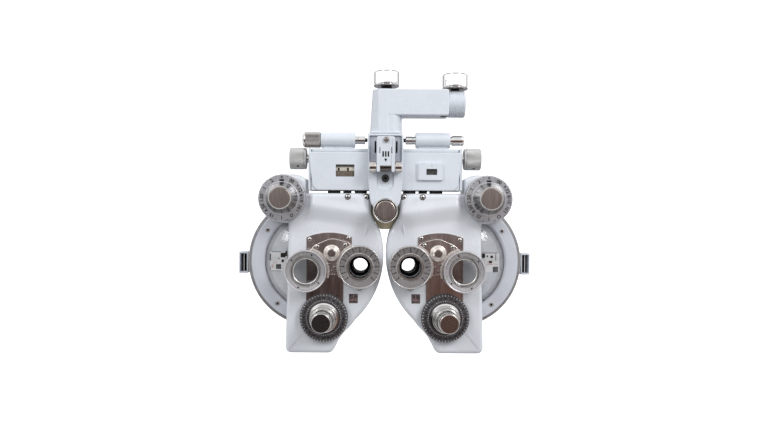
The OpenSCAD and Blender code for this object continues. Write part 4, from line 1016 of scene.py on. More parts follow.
def casing_loop(count=640):
    """Outline of a casing from the top's outer corner, counter-clockwise: top, shoulder, round cheek, jaw, foot."""
    cheek = lobe(64.9, 10.7, 88.0, 164.2, 226.0)
    corners = [(71.0, 71.3), (-9.9, 71.3), (-9.9, 51.1)]
    jaw = [
        (8.8, -59.3), (12.7, -63.1), (17.1, -68.0), (20.4, -72.9), (23.2, -78.6), (25.2, -82.9), (28.8, -86.1)
    ]
    foot = [(73.1, -86.1), (72.6, -58.4), (71.0, 4.1)]
    radii = [2.0, 1.5, 6.0] + [0.4] * 59 + [3.0] * 5 + [2.5, 3.0, 6.5, 3, 3]
    loop = soft(np.vstack([corners, cheek[1:], jaw, foot]), radii, loop=True)
    return even(loop, count)


def front_relief(u, z):
    """Depth of the casing's front: the top flange stands back, a soft roll comes forward below it and falls back to
    the flat that carries the mirror plate. The roll's line drops towards the nose."""
    line = 55.5 + 0.15 * (u + 10)
    rise = np.clip((z - line + 4.5) / 9.0, 0, 1)
    rise = rise * rise * (3 - 2 * rise)
    fall = np.clip((z - line + 21) / 17.0, 0, 1)
    fall = fall * fall * (3 - 2 * fall)
    flat = np.clip((np.hypot(u - AUX[0], z - AUX[1]) - 22) / 9.0, 0, 1)
    corner = np.clip((5.2 - 0.72 * (66.5 - z) - u) / 11.0, 0, 1)
    return 0.9 * rise - 5.0 * fall * flat * flat * (3 - 2 * flat) + 1.8 * corner * corner


def cover_shell(edge):
    """Front cover as a closed shell round the sight hole: front, rolled edge, side wall, inner wall and back again.
    The outer side wall stops short where the sphere drum comes out."""
    outline = casing_loop()
    count = len(outline)
    angle = np.arctan2(outline[:, 1], outline[:, 0])
    hole = SIGHT_HOLE * np.stack([np.cos(angle), np.sin(angle)], 1)
    rings, depths = [], []
    for t in np.linspace(0, 1, 44):
        p = hole * (1 - t) + inset(outline, edge) * t
        rings.append(p)
        depths.append(front_relief(*p.T))
    last = depths[-1]
    for a in np.linspace(0, np.pi / 2, 8)[1:]:
        rings.append(inset(outline, edge * (1 - np.sin(a))))
        depths.append(last + edge * 0.9 * (1 - np.cos(a)))
    open_side = (outline[:, 0] > 68) & (np.abs(outline[:, 1] - DRUM[1]) < 62.4)
    end = np.where(open_side, 7.9, 26.0)
    wall = inset(outline, WALL)
    corner = np.minimum(last + edge + 0.6, end - 0.4)
    inner = wall * 0.93 + hole * 0.07
    back = (
        (outline, end - 0.3),
        (inset(outline, 0.3), end),
        (wall, end),
        (wall, corner),
        (inner, last + WALL),
        (hole, depths[0] + WALL),
    )
    for p, d in back:
        rings.append(p)
        depths.append(d)
    rings.append(rings[0])
    depths.append(depths[0])
    grid = np.stack([np.stack([p[:, 0], d, p[:, 1]], 1) for p, d in zip(rings, depths)])
    return grid, "round"


def ear_loop():
    """Round ear that carries the auxiliary dial, cut off beside the crossbar."""
    right = lobe(*AUX, EAR, -90, 90)
    left = lobe(67.7, AUX[1], EAR, 90, 126.6, 30)
    low = lobe(67.7, AUX[1], EAR, 233.4, 270, 30)
    return even(np.vstack([right, left[1:], low[:-1]]), 360)


def screw_shapes(u, y, z, radius, height=1.0):
    """Domed screw head with a hexagonal socket."""
    head = [
        (0, y - height), (radius * 0.55, y - height), (radius * 0.9, y - height * 0.75),
        (radius, y - height * 0.3), (radius, y + 0.6), (0, y + 0.6),
    ]
    return lathe(soft(head, 0.25 * height, 3), (u, 0, z), "y", 40)


def socket_shape(u, y, z, radius):
    """Dark disc at the bottom of a screw's socket: painted shade for the deep socket."""
    return lathe(rod_profile(radius, y - 0.03, y + 0.2), (u, 0, z), "y", 6)


def casing_cover(name, s, edge):
    """Front cover with its cut for the power window, and the ear of the auxiliary dial."""
    body = "head_" + name
    white = "gloss_enamel"
    cover = piece(
        "casing_" + name, [cover_shell(edge)], white, body, ["front_cover_" + name], s
    )
    cut_away(cover, [cutter([slab(rect(2, 10.7, -36.8, -27.5, 0.6), -4, 3.0, 0.01)], s)])
    ear = slab(ear_loop(), 0.4, 26.0, 4.2, 0.4, steps=6)
    piece("casing_ear_" + name, [ear], white, body, side=s)


def power_window(name, s):
    """Small window of the cylinder power with its printed scale."""
    body = "head_" + name
    pane = rounded((1.6, 11.1, -37.2, -27.1, 0.4), 60, 1.2, 2.0, 0.15)
    piece("power_pane_" + name, [pane], "smoked_scale", body, side=s)
    marks = bars(
        [(3.0 + 1.3 * k, 1.1, -34.6) for k in range(6)],
        [(3.35 + 1.3 * k, 1.3, -33.0 + 0.9 * (k % 2)) for k in range(6)],
    )
    line = bars((6.2, 1.1, -31.4), (6.5, 1.3, -28.2))
    piece("power_marks_" + name, [marks, line], "label_red", body, side=s)


def carriage_blocks(name, s):
    """Dark blocks of the carriage that show between crossbar and casing."""
    blocks = [
        rounded((low, high, 71.5, 73.9, 0.3), 60, 4.0, 18.0, 0.2)
        for low, high in ((-6.3, 4.7), (9.3, 17.1), (20.3, 32.3))
    ]
    piece("carriage_blocks_" + name, blocks, "black_oxide", "carriage_" + name, side=s)


def casing_screws(name, s):
    """Domed screws of the top flange and of the mirror plate, and the sunk ones of the drum ring."""
    body = "head_" + name
    top = [(12.3, 67.6), (-5.8, 67.6)]
    plate = [(49.3, 26.1), (11.3, 27.4)]
    ring_at = [
        (DRUM[0] + 54.8 * np.cos(np.radians(t)), DRUM[1] + 54.8 * np.sin(np.radians(t))) for t in (34.3, -50.1)
    ]
    heads = [screw_shapes(u, front_relief(u, z) + 0.1, z, 2.3, 1.2) for u, z in top]
    heads += [screw_shapes(u, -1.0, z, 1.9, 0.9) for u, z in plate]
    piece("casing_screws_" + name, heads, "turned_aluminium", body, ["head_screws_" + name], s)
    halo = [(1.2, 7.75), (2.5, 7.9), (2.7, 8.2), (1.2, 8.2), (1.2, 7.75)]
    sunk = [lathe(halo, (u, 0, z), "y", 40) for u, z in ring_at]
    piece("ring_screws_" + name, sunk, "satin_ring", body, side=s)
    # Dark discs in the sockets and a dark ring round each top screw's head: painted shade
    wells = [socket_shape(u, front_relief(u, z) - 1.1, z, 0.9) for u, z in top]
    wells += [socket_shape(u, -1.9, z, 0.8) for u, z in plate]
    wells += [socket_shape(u, 7.85, z, 1.4) for u, z in ring_at]
    for u, z in top:
        edge_y = front_relief(u, z)
        seat = tube_profile(2.2, 2.9, edge_y - 0.25, edge_y + 0.5)
        wells.append(lathe(seat, (u, 0, z), "y", 40))
    piece("screw_sockets_" + name, wells, "black_oxide", body, side=s)


def mirror_plate(name, s):
    """Polished plate on the front cover, arched at its top, with the sight hole."""
    body = "head_" + name
    plate_loop = [(8.2, 4.1), (16.3, -2.5), (16.3, -50.4), (52.6, -50.4), (52.6, 24.5)]
    arch = lobe(29.7, -25.3, 58.0, 66.75, 111.8, 60)
    loop = np.vstack([plate_loop, arch])
    obj = piece(
        "mirror_plate_" + name,
        [slab(even(loop, 420), -1.0, -0.05, 0.2, steps=2)],
        "mirror_stainless",
        body,
        ["shield_plate_" + name],
        s,
    )
    cut_away(obj, [cutter([lathe(rod_profile(SIGHT_HOLE, -3, 2), (0, 0, 0), "y", 64)], s)])


class PHOROPTER_OT_casings(bpy.types.Operator):
    """Rounded front casings with the ear of the auxiliary dial, their screws and the power window"""

    bl_idname = "phoropter.casings"
    bl_label = "Head casings"

    def execute(self, context):
        edge = context.scene.phoropter_sizes.casing_edge
        for name, s in SIDES.items():
            casing_cover(name, s, edge)
            power_window(name, s)
            carriage_blocks(name, s)
            casing_screws(name, s)
            mirror_plate(name, s)
        return {"FINISHED"}


# Sphere drum


# Marks on the board as (lowest, highest) corners in u and z
BOARD_MARKS = {
    "left": {
        "dark": [
            ((74.6, 7.4), (79.2, 12.0)), ((78.6, -4.2), (83.8, 0.6)), ((72.7, 8.6), (74.6, 13.6)),
            ((88.9, 4.0), (90.0, 11.0)), ((80.4, 5.6), (81.6, 6.9)), ((76.2, 2.4), (78.2, 5.2)),
            ((89.2, -5.6), (89.9, -1.8)), ((79.0, 12.5), (88.0, 13.1)), ((79.0, -6.3), (89.0, -5.8)),
        ],
        "red": [((82.5, 1.6), (87.2, 2.4)), ((83.0, 3.2), (85.5, 4.0)), ((86.3, -2.8), (88.3, 0.4))],
    },
    "right": {
        "dark": [
            ((83.4, -6.2), (88.8, -0.6)), ((72.8, 8.0), (75.8, 12.2)), ((72.8, 12.6), (88.0, 13.2)),
            ((79.4, 2.8), (82.6, 5.2)), ((77.2, 8.8), (78.6, 10.6)), ((81.0, 7.9), (83.6, 10.4)),
            ((86.0, 5.5), (86.7, 12.4)),
        ],
        "red": [((76.6, 1.2), (84.0, 2.4)), ((78.0, 3.6), (81.0, 4.4)), ((85.2, 1.4), (88.4, 2.2))],
    },
}


def drum_ring(name, s):
    """White outer ring of the drum, open towards the casing."""
    body = "head_" + name
    at = (DRUM[0], 0, DRUM[1])
    profile = [
        (48.3, 11.9), (48.3, 10.2), (49.6, 8.6), (50.8, 8.0), (60.0, 8.0), (61.2, 8.5), (61.6, 9.6),
        (61.6, 18.6), (58.4, 18.6), (58.4, 11.9),
    ]
    ring_shape = lathe(profile, at, "y", 200, sweep=(-80, 80))
    piece(
        "drum_ring_" + name + "_skin",
        [ring_shape],
        "drum_enamel",
        body,
        ["drum_ring_" + name],
        s,
    )


def drum_window(name, s):
    """Domed window, and the grey disc behind it with a darker ring at its rim, painted shade for the recess wall and
    the dome's dim border.
    """
    body = "head_" + name
    at = (DRUM[0], 0, DRUM[1])
    t = np.linspace(0, 1, 24)
    outer = np.stack([22 + 26 * t, 3.2 + 8.4 * t**2], 1)
    inner = np.stack([22 + 26 * t, 4.4 + 7.4 * t**2], 1)[::-1]
    dome = lathe(np.vstack([outer, inner]), at, "y", 160, sweep=(-76, 76))
    piece("drum_dome_" + name, [dome], "clear_acrylic", body, ["drum_window_" + name], s)
    back = lathe([(22, 12.1), (48.2, 12.1), (48.2, 12.45), (22, 12.45)], at, "y", 160, sweep=(-76, 76))
    piece("drum_mask_" + name, [back], "disc_grey", body, side=s)
    # Darker ring at the disc's rim: painted shade
    shade = lathe([(43.0, 12.0), (48.2, 11.92), (48.2, 12.15), (43.0, 12.15)], at, "y", 160, sweep=(-76, 76))
    piece("drum_shade_" + name, [shade], "disc_shade", body, side=s)


def drum_board(name, s):
    """Printed board behind the window with its marks."""
    body = "head_" + name
    board = rounded((72.6, 89.9, -6.1, 13.0, 0.5), 80, 11.9, 12.2, 0.08)
    piece("drum_board_" + name, [board], "label_board", body, side=s)
    for tone, label, coat in (("dark", "board_marks_", "matt_black"), ("red", "board_red_", "label_red")):
        low, high = np.array(BOARD_MARKS[name][tone]).transpose(1, 0, 2)
        marks = bars(np.insert(low, 1, 11.75, axis=1), np.insert(high, 1, 12.05, axis=1))
        piece(label + name, [marks], coat, body, side=s)


def drum_rim(name, s, teeth):
    """Knurled rim of the sphere wheel, and a black ring of painted shade in the gap in front of it."""
    at = (DRUM[0], 0, DRUM[1])
    line = tube_profile(61.9, 63.1, 19.1, 19.4)
    piece(
        "drum_line_" + name, [lathe(line, at, "y", 160)], "matt_black", "sphere_" + name, side=s
    )
    rim = [
        (64.6, 19.3), (65.4, 18.95), (66.1, 19.5), (66.1, 19.9), (66.1, 25.0), (66.1, 25.3), (65.4, 25.75),
        (64.6, 25.4),
        (64.6, 19.3),
    ]
    knurl = lathe(rim, at, "y", teeth * 4, teeth, 0.45, (19.6, 25.2))
    piece("drum_rim_" + name, [knurl], "knurled_steel", "sphere_" + name, side=s)


class PHOROPTER_OT_drums(bpy.types.Operator):
    """Outer rings of the sphere drums, their knurled rims, domed windows and the board seen behind them"""

    bl_idname = "phoropter.drums"
    bl_label = "Sphere drums"

    def execute(self, context):
        teeth = context.scene.phoropter_sizes.drum_teeth
        for name, s in SIDES.items():
            drum_ring(name, s)
            drum_window(name, s)
            drum_board(name, s)
            drum_rim(name, s, teeth)
        return {"FINISHED"}


# Marks on dials


def text_points(label, size):
    """Outlines of a generic number as triangles and points, centred, one unit high times size."""
    curve = bpy.data.curves.new("number", "FONT")
    curve.body = label
    curve.size = size
    curve.align_x = "CENTER"
    curve.align_y = "CENTER"
    curve.extrude = 0.08
    curve.offset = 0.028 * size
    curve.resolution_u = 2
    obj = bpy.data.objects.new("number", curve)
    bpy.context.scene.collection.objects.link(obj)
    bpy.context.view_layer.update()
    mesh = bpy.data.meshes.new_from_object(obj.evaluated_get(bpy.context.evaluated_depsgraph_get()))
    points = np.empty(len(mesh.vertices) * 3)
    mesh.vertices.foreach_get("co", points)
    faces = [list(p.vertices) for p in mesh.polygons]
    bpy.data.objects.remove(obj)
    bpy.data.curves.remove(curve)
    bpy.data.meshes.remove(mesh)
    return points.reshape(-1, 3), faces


def numbers(name, labels, at, depth, body, finish, side):
    """Numbers laid round a centre on a dial: each label is (text, size, radius, angle, turn) in mm and degrees, where
    the turn tilts the text itself. Angles run counter-clockwise from the right as the examiner sees them."""
    points, faces, base = [], [], 0
    for label, size, radius, angle, turn in labels:
        flat, found = text_points(label, size)
        a, t = np.radians(angle), np.radians(turn)
        x = flat[:, 0] * np.cos(t) - flat[:, 1] * np.sin(t) + radius * np.cos(a)
        z = flat[:, 0] * np.sin(t) + flat[:, 1] * np.cos(t) + radius * np.sin(a)
        points.append(np.stack([at[0] + x, depth - flat[:, 2], at[1] + z], 1))
        faces += [[v + base for v in f] for f in found]
        base += len(flat)
    mesh = bpy.data.meshes.new(name)
    mesh.from_pydata(to_row(np.vstack(points)), [], faces)
    return dress(mesh, name, finish, body, angle=20.0)


def ticks(at, depth, inner, outer, angles, width, thick=0.12):
    """Radial marks on a dial about (at) between two radii, which may differ from tick to tick."""
    angles = np.radians(np.asarray(angles, float))
    inner, outer, width = (np.broadcast_to(v, angles.shape) for v in (inner, outer, width))
    low = np.stack([inner, np.full_like(angles, depth - thick), -width / 2], 1)
    high = np.stack([outer, np.full_like(angles, depth + thick), width / 2], 1)
    return bars(low, high, angles, (at[0], 0, at[1]))


# Auxiliary dials


# Generic settings round an auxiliary dial, clockwise from the top, each with its letters' height
AUX_LABELS = [
    ("0", 3.8), ("00", 4.8), ("+.12", 4.6), ("6/10", 4.6), ("10 I", 4.4), ("O", 4.6), ("1", 4.4), ("15", 4.6),
    ("±.50", 4.8), ("1.50", 4.8), ("1", 4.6), ("2", 4.6),
]


class PHOROPTER_OT_auxiliary_dials(bpy.types.Operator):
    """Auxiliary dials: numbered silver disc, cone and brushed cap with a bright rim"""

    bl_idname = "phoropter.auxiliary_dials"
    bl_label = "Auxiliary dials"

    def execute(self, context):
        at = (AUX[0], 0, AUX[1])
        for name, s in SIDES.items():
            body = "aux_dial_" + name
            disc = soft(
                [
                    (0, -13.0), (15.0, -13.0), (16.2, -12.0), (22.3, -12.0), (23.0, -11.4), (23.0, -4.4),
                    (22.4, -3.8), (16.1, -3.8), (16.1, -0.4), (0, -0.4),
                ],
                0.3,
            )
            piece(body + "_disc", [lathe(disc, at, "y", 160)], "satin_aluminium", body, [body], s)
            t = np.linspace(0, 1, 14)
            flank = np.stack([15.6 - 4.9 * t**0.75, -12.6 - 12.6 * t], 1)
            cone = np.vstack(
                [[(0, -12.4), (15.6, -12.4)], flank, [(10.9, -26.0), (10.9, -28.6), (10.5, -29.0), (0, -29.0)]]
            )
            piece(body + "_cone", [lathe(cone, at, "y", 144)], "turned_aluminium", body, side=s)
            cap = soft([(0, -29.25), (9.6, -29.25), (10.1, -28.9), (10.1, -28.4), (0, -28.4)], 0.2)
            piece(body + "_cap", [lathe(cap, at, "y", 128)], "brushed_nickel_dark", body, side=s)
            centre = (s * (EYE + AUX[0]), AUX[1])
            labels = []
            for k, (label, big) in enumerate(AUX_LABELS):
                angle = 90 - 30 * k
                labels.append((label, big, 20.2 if k == 0 else 19.2, angle, angle - 90))
            numbers(body + "_numbers", labels, centre, -12.05, body, "engraving_ink", s)
            bar = bars((AUX[0] - 2.3, -12.2, AUX[1] + 16.5), (AUX[0] + 2.3, -11.9, AUX[1] + 18.2))
            dots = [
                lathe(
                    rod_profile(0.45, -12.12, -11.9),
                    (AUX[0] + 21.6 * np.cos(a), 0, AUX[1] + 21.6 * np.sin(a)),
                    "y",
                    12,
                )
                for a in np.radians(75 - 30 * np.arange(0, 12))
            ]
            piece(body + "_bar", [bar, *dots], "engraving_ink", body, side=s)
        return {"FINISHED"}


# Turrets with the prism and cross cylinder units


def turret_loop():
    """Outline of the plate between the two units, from the pivot."""
    shares = [
        (0.55, 0.255), (0, 0.484), (-0.533, 0.344), (-1.033, -0.169), (-0.636, -0.898), (0, -0.633),
        (0.656, -0.931), (1.02, -0.301),
    ]
    p = np.array(shares) * TURRET_REACH + np.array(TURRET)
    return even(soft(p, (3, 5, 3, 3, 3, 8, 3, 3), loop=True), 300)


def turret_plate(name, s):
    """Mirror plate between the two units, with a hole for each."""
    body = "turret_" + name
    plate = slab(turret_loop(), TURRET_FRONT, -8.5, 0.55, 0.3, steps=3)
    obj = piece(body + "_plate", [plate], "mirror_stainless", body, [body], s)
    holes = [
        lathe(rod_profile(12.8, -14, -6), (0, 0, 0), "y", 64),
        lathe(rod_profile(16.3, -14, -6), (CROSS[0], 0, CROSS[1]), "y", 64),
    ]
    cut_away(obj, [cutter([h], s) for h in holes])


def turret_hub(name, s):
    """Stepped hub with its dark centre."""
    body = "turret_" + name
    pivot = (TURRET[0], 0, TURRET[1])
    boss = [
        (0, -15.5), (4.4, -15.5), (5.4, -14.9), (6.4, -14.9), (7.6, -14.2), (8.0, -13.0), (8.0, -1.4), (0, -1.4)
    ]
    hub = lathe(soft(boss, 0.35), pivot, "y", 96)
    piece(body + "_hub", [hub], "warm_satin", body, side=s)
    centre = lathe(
        soft([(0, -16.2), (3.4, -16.2), (3.9, -15.7), (3.9, -15.0), (0, -15.0)], 0.3), pivot, "y", 64
    )
    piece(body + "_hub_centre", [centre], "brushed_nickel_dark", body, side=s)


def unit_seats(name, s):
    """Collars beside both units, the prism's housing with its pointer, and the seat of the cross cylinder."""
    body = "turret_" + name
    # Polished collars on the plate beside both units, on the sides that face the hub
    band = [(20.7, -12.0), (22.4, -12.0), (22.7, -11.7), (22.7, -11.2), (20.7, -11.2)]
    crescents = [
        lathe(band, (CROSS[0], 0, CROSS[1]), "y", 60, sweep=(104, 198)),
        lathe(band, (0, 0, 0), "y", 60, sweep=(-28, 68)),
    ]
    piece(body + "_collars", crescents, "warm_satin", body, side=s)
    # Housing of the prism unit, with the pointer under it
    house = [
        (12.75, -8.5), (12.75, -18.3), (19.8, -18.3), (20.5, -17.8), (20.5, -9.0), (20.0, -8.5), (12.75, -8.5)
    ]
    tip = np.array([(-6.4, -18.6), (0, -24.2), (6.4, -18.6), (0, -16.0)], float)
    pointer = slab(even(soft(tip, (2, 1.4, 2, 2), loop=True), 80), -18.2, -12.5, 0.5)
    piece(
        body + "_prism_housing",
        [lathe(house, (0, 0, 0), "y", 128), pointer],
        "satin_ring",
        body,
        side=s,
    )
    seat = [
        (16.15, -8.5), (16.15, -12.1), (19.6, -12.1), (20.1, -11.6), (20.1, -8.9), (19.7, -8.5), (16.15, -8.5)
    ]
    piece(
        body + "_cross_seat",
        [lathe(seat, (CROSS[0], 0, CROSS[1]), "y", 128)],
        "satin_chrome",
        body,
        side=s,
    )


def turret_screws(name, s):
    """Screws of the plate."""
    body = "turret_" + name
    at = [
        (TURRET[0] + TURRET_REACH * a, TURRET[1] + TURRET_REACH * b)
        for a, b in ((0.464, 0.195), (-0.434, 0.258))
    ]
    heads = [screw_shapes(u, TURRET_FRONT, z, 1.9, 0.8) for u, z in at]
    small = [screw_shapes(u, TURRET_FRONT, z, 1.3, 0.6) for u, z in ((24.2, -1.0), (29.6, 2.0), (27.0, -4.6))]
    piece(body + "_small_screws", small, "spring_steel", body, side=s)
    piece(body + "_screws", heads, "turned_aluminium", body, side=s)
    # Dark discs in the screws' sockets: painted shade
    wells = [socket_shape(u, -12.3, z, 0.8) for u, z in at]
    piece(body + "_sockets", wells, "black_oxide", body, side=s)


class PHOROPTER_OT_turrets(bpy.types.Operator):
    """Turret plates with their hubs and the housings of both units"""

    bl_idname = "phoropter.turrets"
    bl_label = "Turrets"

    def execute(self, context):
        for name, s in SIDES.items():
            turret_plate(name, s)
            turret_hub(name, s)
            unit_seats(name, s)
            turret_screws(name, s)
        return {"FINISHED"}


class PHOROPTER_OT_prisms(bpy.types.Operator):
    """Rotary prisms: scale ring with ticks and numbers, silver inner ring and blackened sight tube"""

    bl_idname = "phoropter.prisms"
    bl_label = "Rotary prisms"

    def execute(self, context):
        for name, s in SIDES.items():
            body = "prism_dial_" + name
            node = "prism_dial_" + name
            scale = [(13.5, -21.2), (19.6, -21.6), (19.6, -18.7), (13.5, -18.7), (13.5, -21.2)]
            piece(
                body + "_scale",
                [lathe(scale, (0, 0, 0), "y", 144)],
                "anodised_grey",
                body,
                [node],
                s,
            )
            rim = soft(
                [
                    (19.5, -18.7), (19.5, -21.8), (19.9, -22.1), (20.3, -22.0), (20.6, -21.6), (20.6, -19.0),
                    (20.3, -18.7),
                ],
                0.15,
            )
            rim = np.vstack([rim, rim[:1]])
            inner = [
                (10.3, -18.7), (10.3, -21.6), (10.8, -22.2), (12.9, -22.2), (13.6, -21.5), (13.6, -18.7),
                (10.3, -18.7),
            ]
            shapes = [lathe(rim, (0, 0, 0), "y", 160), lathe(inner, (0, 0, 0), "y", 128)]
            piece(body + "_rims", shapes, "turned_aluminium", body, side=s)
            tube = [(10.3, -21.4), (10.2, -9.0), (12.6, -9.0), (12.6, -18.6), (10.9, -18.6), (10.3, -21.4)]
            piece(body + "_tube", [lathe(tube, (0, 0, 0), "y", 96)], "matt_black", body, side=s)
            front = [(9.85, -0.6), (7.45, 3.0), (7.45, 12.1), (9.85, 12.1), (9.85, -0.6)]
            rear = [(7.45, 36.6), (7.45, 43.9), (8.6, 43.9), (8.6, 36.6), (7.45, 36.6)]
            tubes = [lathe(run, (0, 0, 0), "y", 96) for run in (front, rear)]
            piece("sight_tube_" + name, tubes, "matt_black", "head_" + name, side=s)
            angles = 90 + np.linspace(-132, 132, 25)
            marks = ticks((0, 0), -21.5, np.where(np.arange(25) % 2 == 0, 16.9, 17.8), 19.2, angles, 0.62, 0.2)
            piece(body + "_ticks", [marks], "engraving_ink", body, side=s)
            centre = (s * EYE, 0.0)
            labels = [(str(abs(k)), 3.2, 15.4, 90 + 22 * k, 22 * k) for k in range(-6, 7)]
            numbers(body + "_numbers", labels, centre, -21.42, body, "engraving_ink", s)
        return {"FINISHED"}


def cross_ring(name, s):
    """Outer ring of a cross cylinder: grooved bezel, a black ring of painted shade in each groove, bright lip and the
    axis dots.
    """
    body = "cross_ring_" + name
    at = (CROSS[0], 0, CROSS[1])
    outer = soft(
        [
            (14.4, -12.6), (14.4, -19.8), (14.9, -20.6), (18.4, -20.9), (18.6, -21.6), (19.4, -21.9),
            (20.1, -21.2), (20.1, -13.1), (19.6, -12.5), (14.4, -12.6),
        ],
        0.2,
    )
    piece(
        body + "_bezel",
        [lathe(outer, at, "y", 240, 72, 0.3, (-20.6, -13.4))],
        "satin_ring",
        body,
        [body],
        s,
    )
    # Black rings in the bezel's two grooves: painted shade
    grooves = [
        lathe(tube_profile(a, a + 0.4, -d, -d + 0.4), at, "y", 128) for a, d in ((14.7, 20.65), (18.25, 21.0))
    ]
    piece(body + "_grooves", grooves, "black_oxide", body, side=s)
    lip = [(13.95, -19.6), (14.3, -20.3), (14.7, -20.6), (14.7, -19.0), (14.35, -18.0), (13.95, -19.6)]
    piece(body + "_lip", [lathe(lip, at, "y", 128)], "chrome_plate", body, side=s)
    seat = tube_profile(14.4, 15.9, -12.7, -8.9)
    piece(body + "_seat", [lathe(seat, at, "y", 96)], "satin_chrome", body, side=s)
    spots = [(-6.0, 15.6), (6.6, -15.4), (-12.6, -11.0), (13.1, 10.5)]
    dots = [lathe(rod_profile(0.9, -21.0, -20.5), (CROSS[0] + a, 0, CROSS[1] + b), "y", 16) for a, b in spots]
    piece(body + "_dots", dots, "black_oxide", body, side=s)


def cross_cell(name, s):
    """Flipping cell on its two pins, with its glass."""
    cell = "cross_cell_" + name
    at = (CROSS[0], 0, CROSS[1])
    flip = np.radians(68.3)
    frame_ring = soft(
        [
            (11.6, -14.9), (11.6, -17.0), (12.4, -17.6), (13.4, -17.6), (13.9, -17.0), (13.9, -15.0),
            (13.4, -14.4), (12.4, -14.4), (11.6, -14.9),
        ],
        0.2,
    )
    ring_shape = lathe(frame_ring, at, "y", 128)
    pins = []
    for k in (-1, 1):
        run = rod_profile(1.5, *sorted((13.4 * k, 16.9 * k)))
        grid, kind = lathe(run, (0, 0, 0), "x", 24)
        x, z = grid[..., 0].copy(), grid[..., 2].copy()
        grid[..., 0] = CROSS[0] + x * np.cos(flip) - z * np.sin(flip)
        grid[..., 2] = CROSS[1] + x * np.sin(flip) + z * np.cos(flip)
        grid[..., 1] += -16.0
        pins.append((grid, kind))
    piece(cell + "_ring", [ring_shape, *pins], "turned_aluminium", cell, [cell], s)
    t = np.linspace(0, 1, 10)
    front = np.stack([11.9 * t, -16.85 + 0.35 * t**2], 1)
    back = np.stack([11.9 * t, -15.15 - 0.35 * t**2], 1)[::-1]
    piece(
        "cross_glass_" + name,
        [lathe(np.vstack([front, back]), at, "y", 96)],
        "lens_glass",
        cell,
        ["cross_lens_" + name],
        s,
    )


class PHOROPTER_OT_cross_cylinders(bpy.types.Operator):
    """Cross cylinder units: chrome ring with its knurl, flipping cell and its glass, tinted dark with painted shade"""

    bl_idname = "phoropter.cross_cylinders"
    bl_label = "Cross cylinders"

    def execute(self, context):
        for name, s in SIDES.items():
            cross_ring(name, s)
            cross_cell(name, s)
        return {"FINISHED"}


# Cylinder dials


def axis_ring(name, s):
    """Axis ring with two circles of marks and its degrees."""
    body = "axis_dial_" + name
    at = (CYL[0], 0, CYL[1])
    ring_profile = soft(
        [
            (0, -1.6), (11.6, -1.6), (11.6, -2.6), (22.8, -2.6), (23.5, -3.2), (23.5, -6.3), (22.7, -7.4),
            (16.2, -7.6), (15.8, -7.1), (0, -7.1),
        ],
        0.25,
    )[::-1]
    piece(
        body + "_ring",
        [lathe(ring_profile, at, "y", 180, 90, 0.25, (-6.2, -3.4))],
        "anodised_dark",
        body,
        [body],
        s,
    )
    angles = np.arange(0, 360, 7.5)
    long = np.arange(48) % 4 == 0
    marks = ticks(CYL, -7.5, np.where(long, 21.2, 21.7), 22.9, angles, 0.5, 0.2)
    inner_marks = ticks(CYL, -7.6, 16.3, np.where(long, 17.5, 17.1), angles, 0.45, 0.2)
    piece(body + "_ticks", [marks, inner_marks], "scale_ink_light", body, side=s)
    centre = (s * (EYE + CYL[0]), CYL[1])
    labels = [(str((90 - 15 * k) % 180 or 180), 2.7, 19.3, 90 - 15 * k, -15 * k) for k in range(24)]
    numbers(body + "_numbers", labels, centre, -7.5, body, "scale_ink_dark", s)


def power_knob(name, s):
    """Power knob in three steps, with a bright collar at its foot and a dull cap whose tone is a painted reflection."""
    knob = "cyl_knob_" + name
    at = (CYL[0], 0, CYL[1])
    base, rise = 7.8, 10.05
    p = [(0, -base), (13.2, -base), (13.2, -base - rise + 0.4), (12.8, -base - rise), (11.75, -base - rise)]
    p += [
        (11.75, -base - 2 * rise + 0.4), (11.4, -base - 2 * rise), (10.8, -base - 2 * rise),
        (9.6, -base - 3 * rise + 0.2),
    ]
    p += [(9.2, -base - 3 * rise), (9.2, -47.6), (8.8, -48.0), (0, -48.0)]
    steps_shape = lathe(soft(p, 0.35, 3), at, "y", 160)
    piece(knob + "_steps", [steps_shape], "turned_aluminium", knob, [knob], s)
    collars = [
        lathe(
            [(13.0, -9.6), (14.6, -9.3), (14.9, -8.6), (14.9, -7.9), (13.0, -7.9), (13.0, -9.6)], at, "y", 128
        ),
    ]
    piece(knob + "_collar", collars, "chrome_plate", knob, side=s)
    cap = soft([(0, -48.3), (8.3, -48.3), (8.7, -47.9), (8.7, -47.4), (0, -47.4)], 0.2)
    # The cap's tone on each side is a painted reflection
    tone = "cap_dark" if s < 0 else "cap_brown"
    piece(knob + "_cap", [lathe(cap, at, "y", 96)], tone, knob, side=s)
    lines = ticks(CYL, -17.9, 12.0, 12.9, (0, 180), 0.5, 0.1)
    piece(knob + "_lines", [lines], "engraving_ink", knob, side=s)


class PHOROPTER_OT_cylinder_dials(bpy.types.Operator):
    """Cylinder axis rings with two circles of numbers, and the stepped power knobs"""

    bl_idname = "phoropter.cylinder_dials"
    bl_label = "Cylinder dials"

    def execute(self, context):
        for name, s in SIDES.items():
            axis_ring(name, s)
            power_knob(name, s)
        return {"FINISHED"}


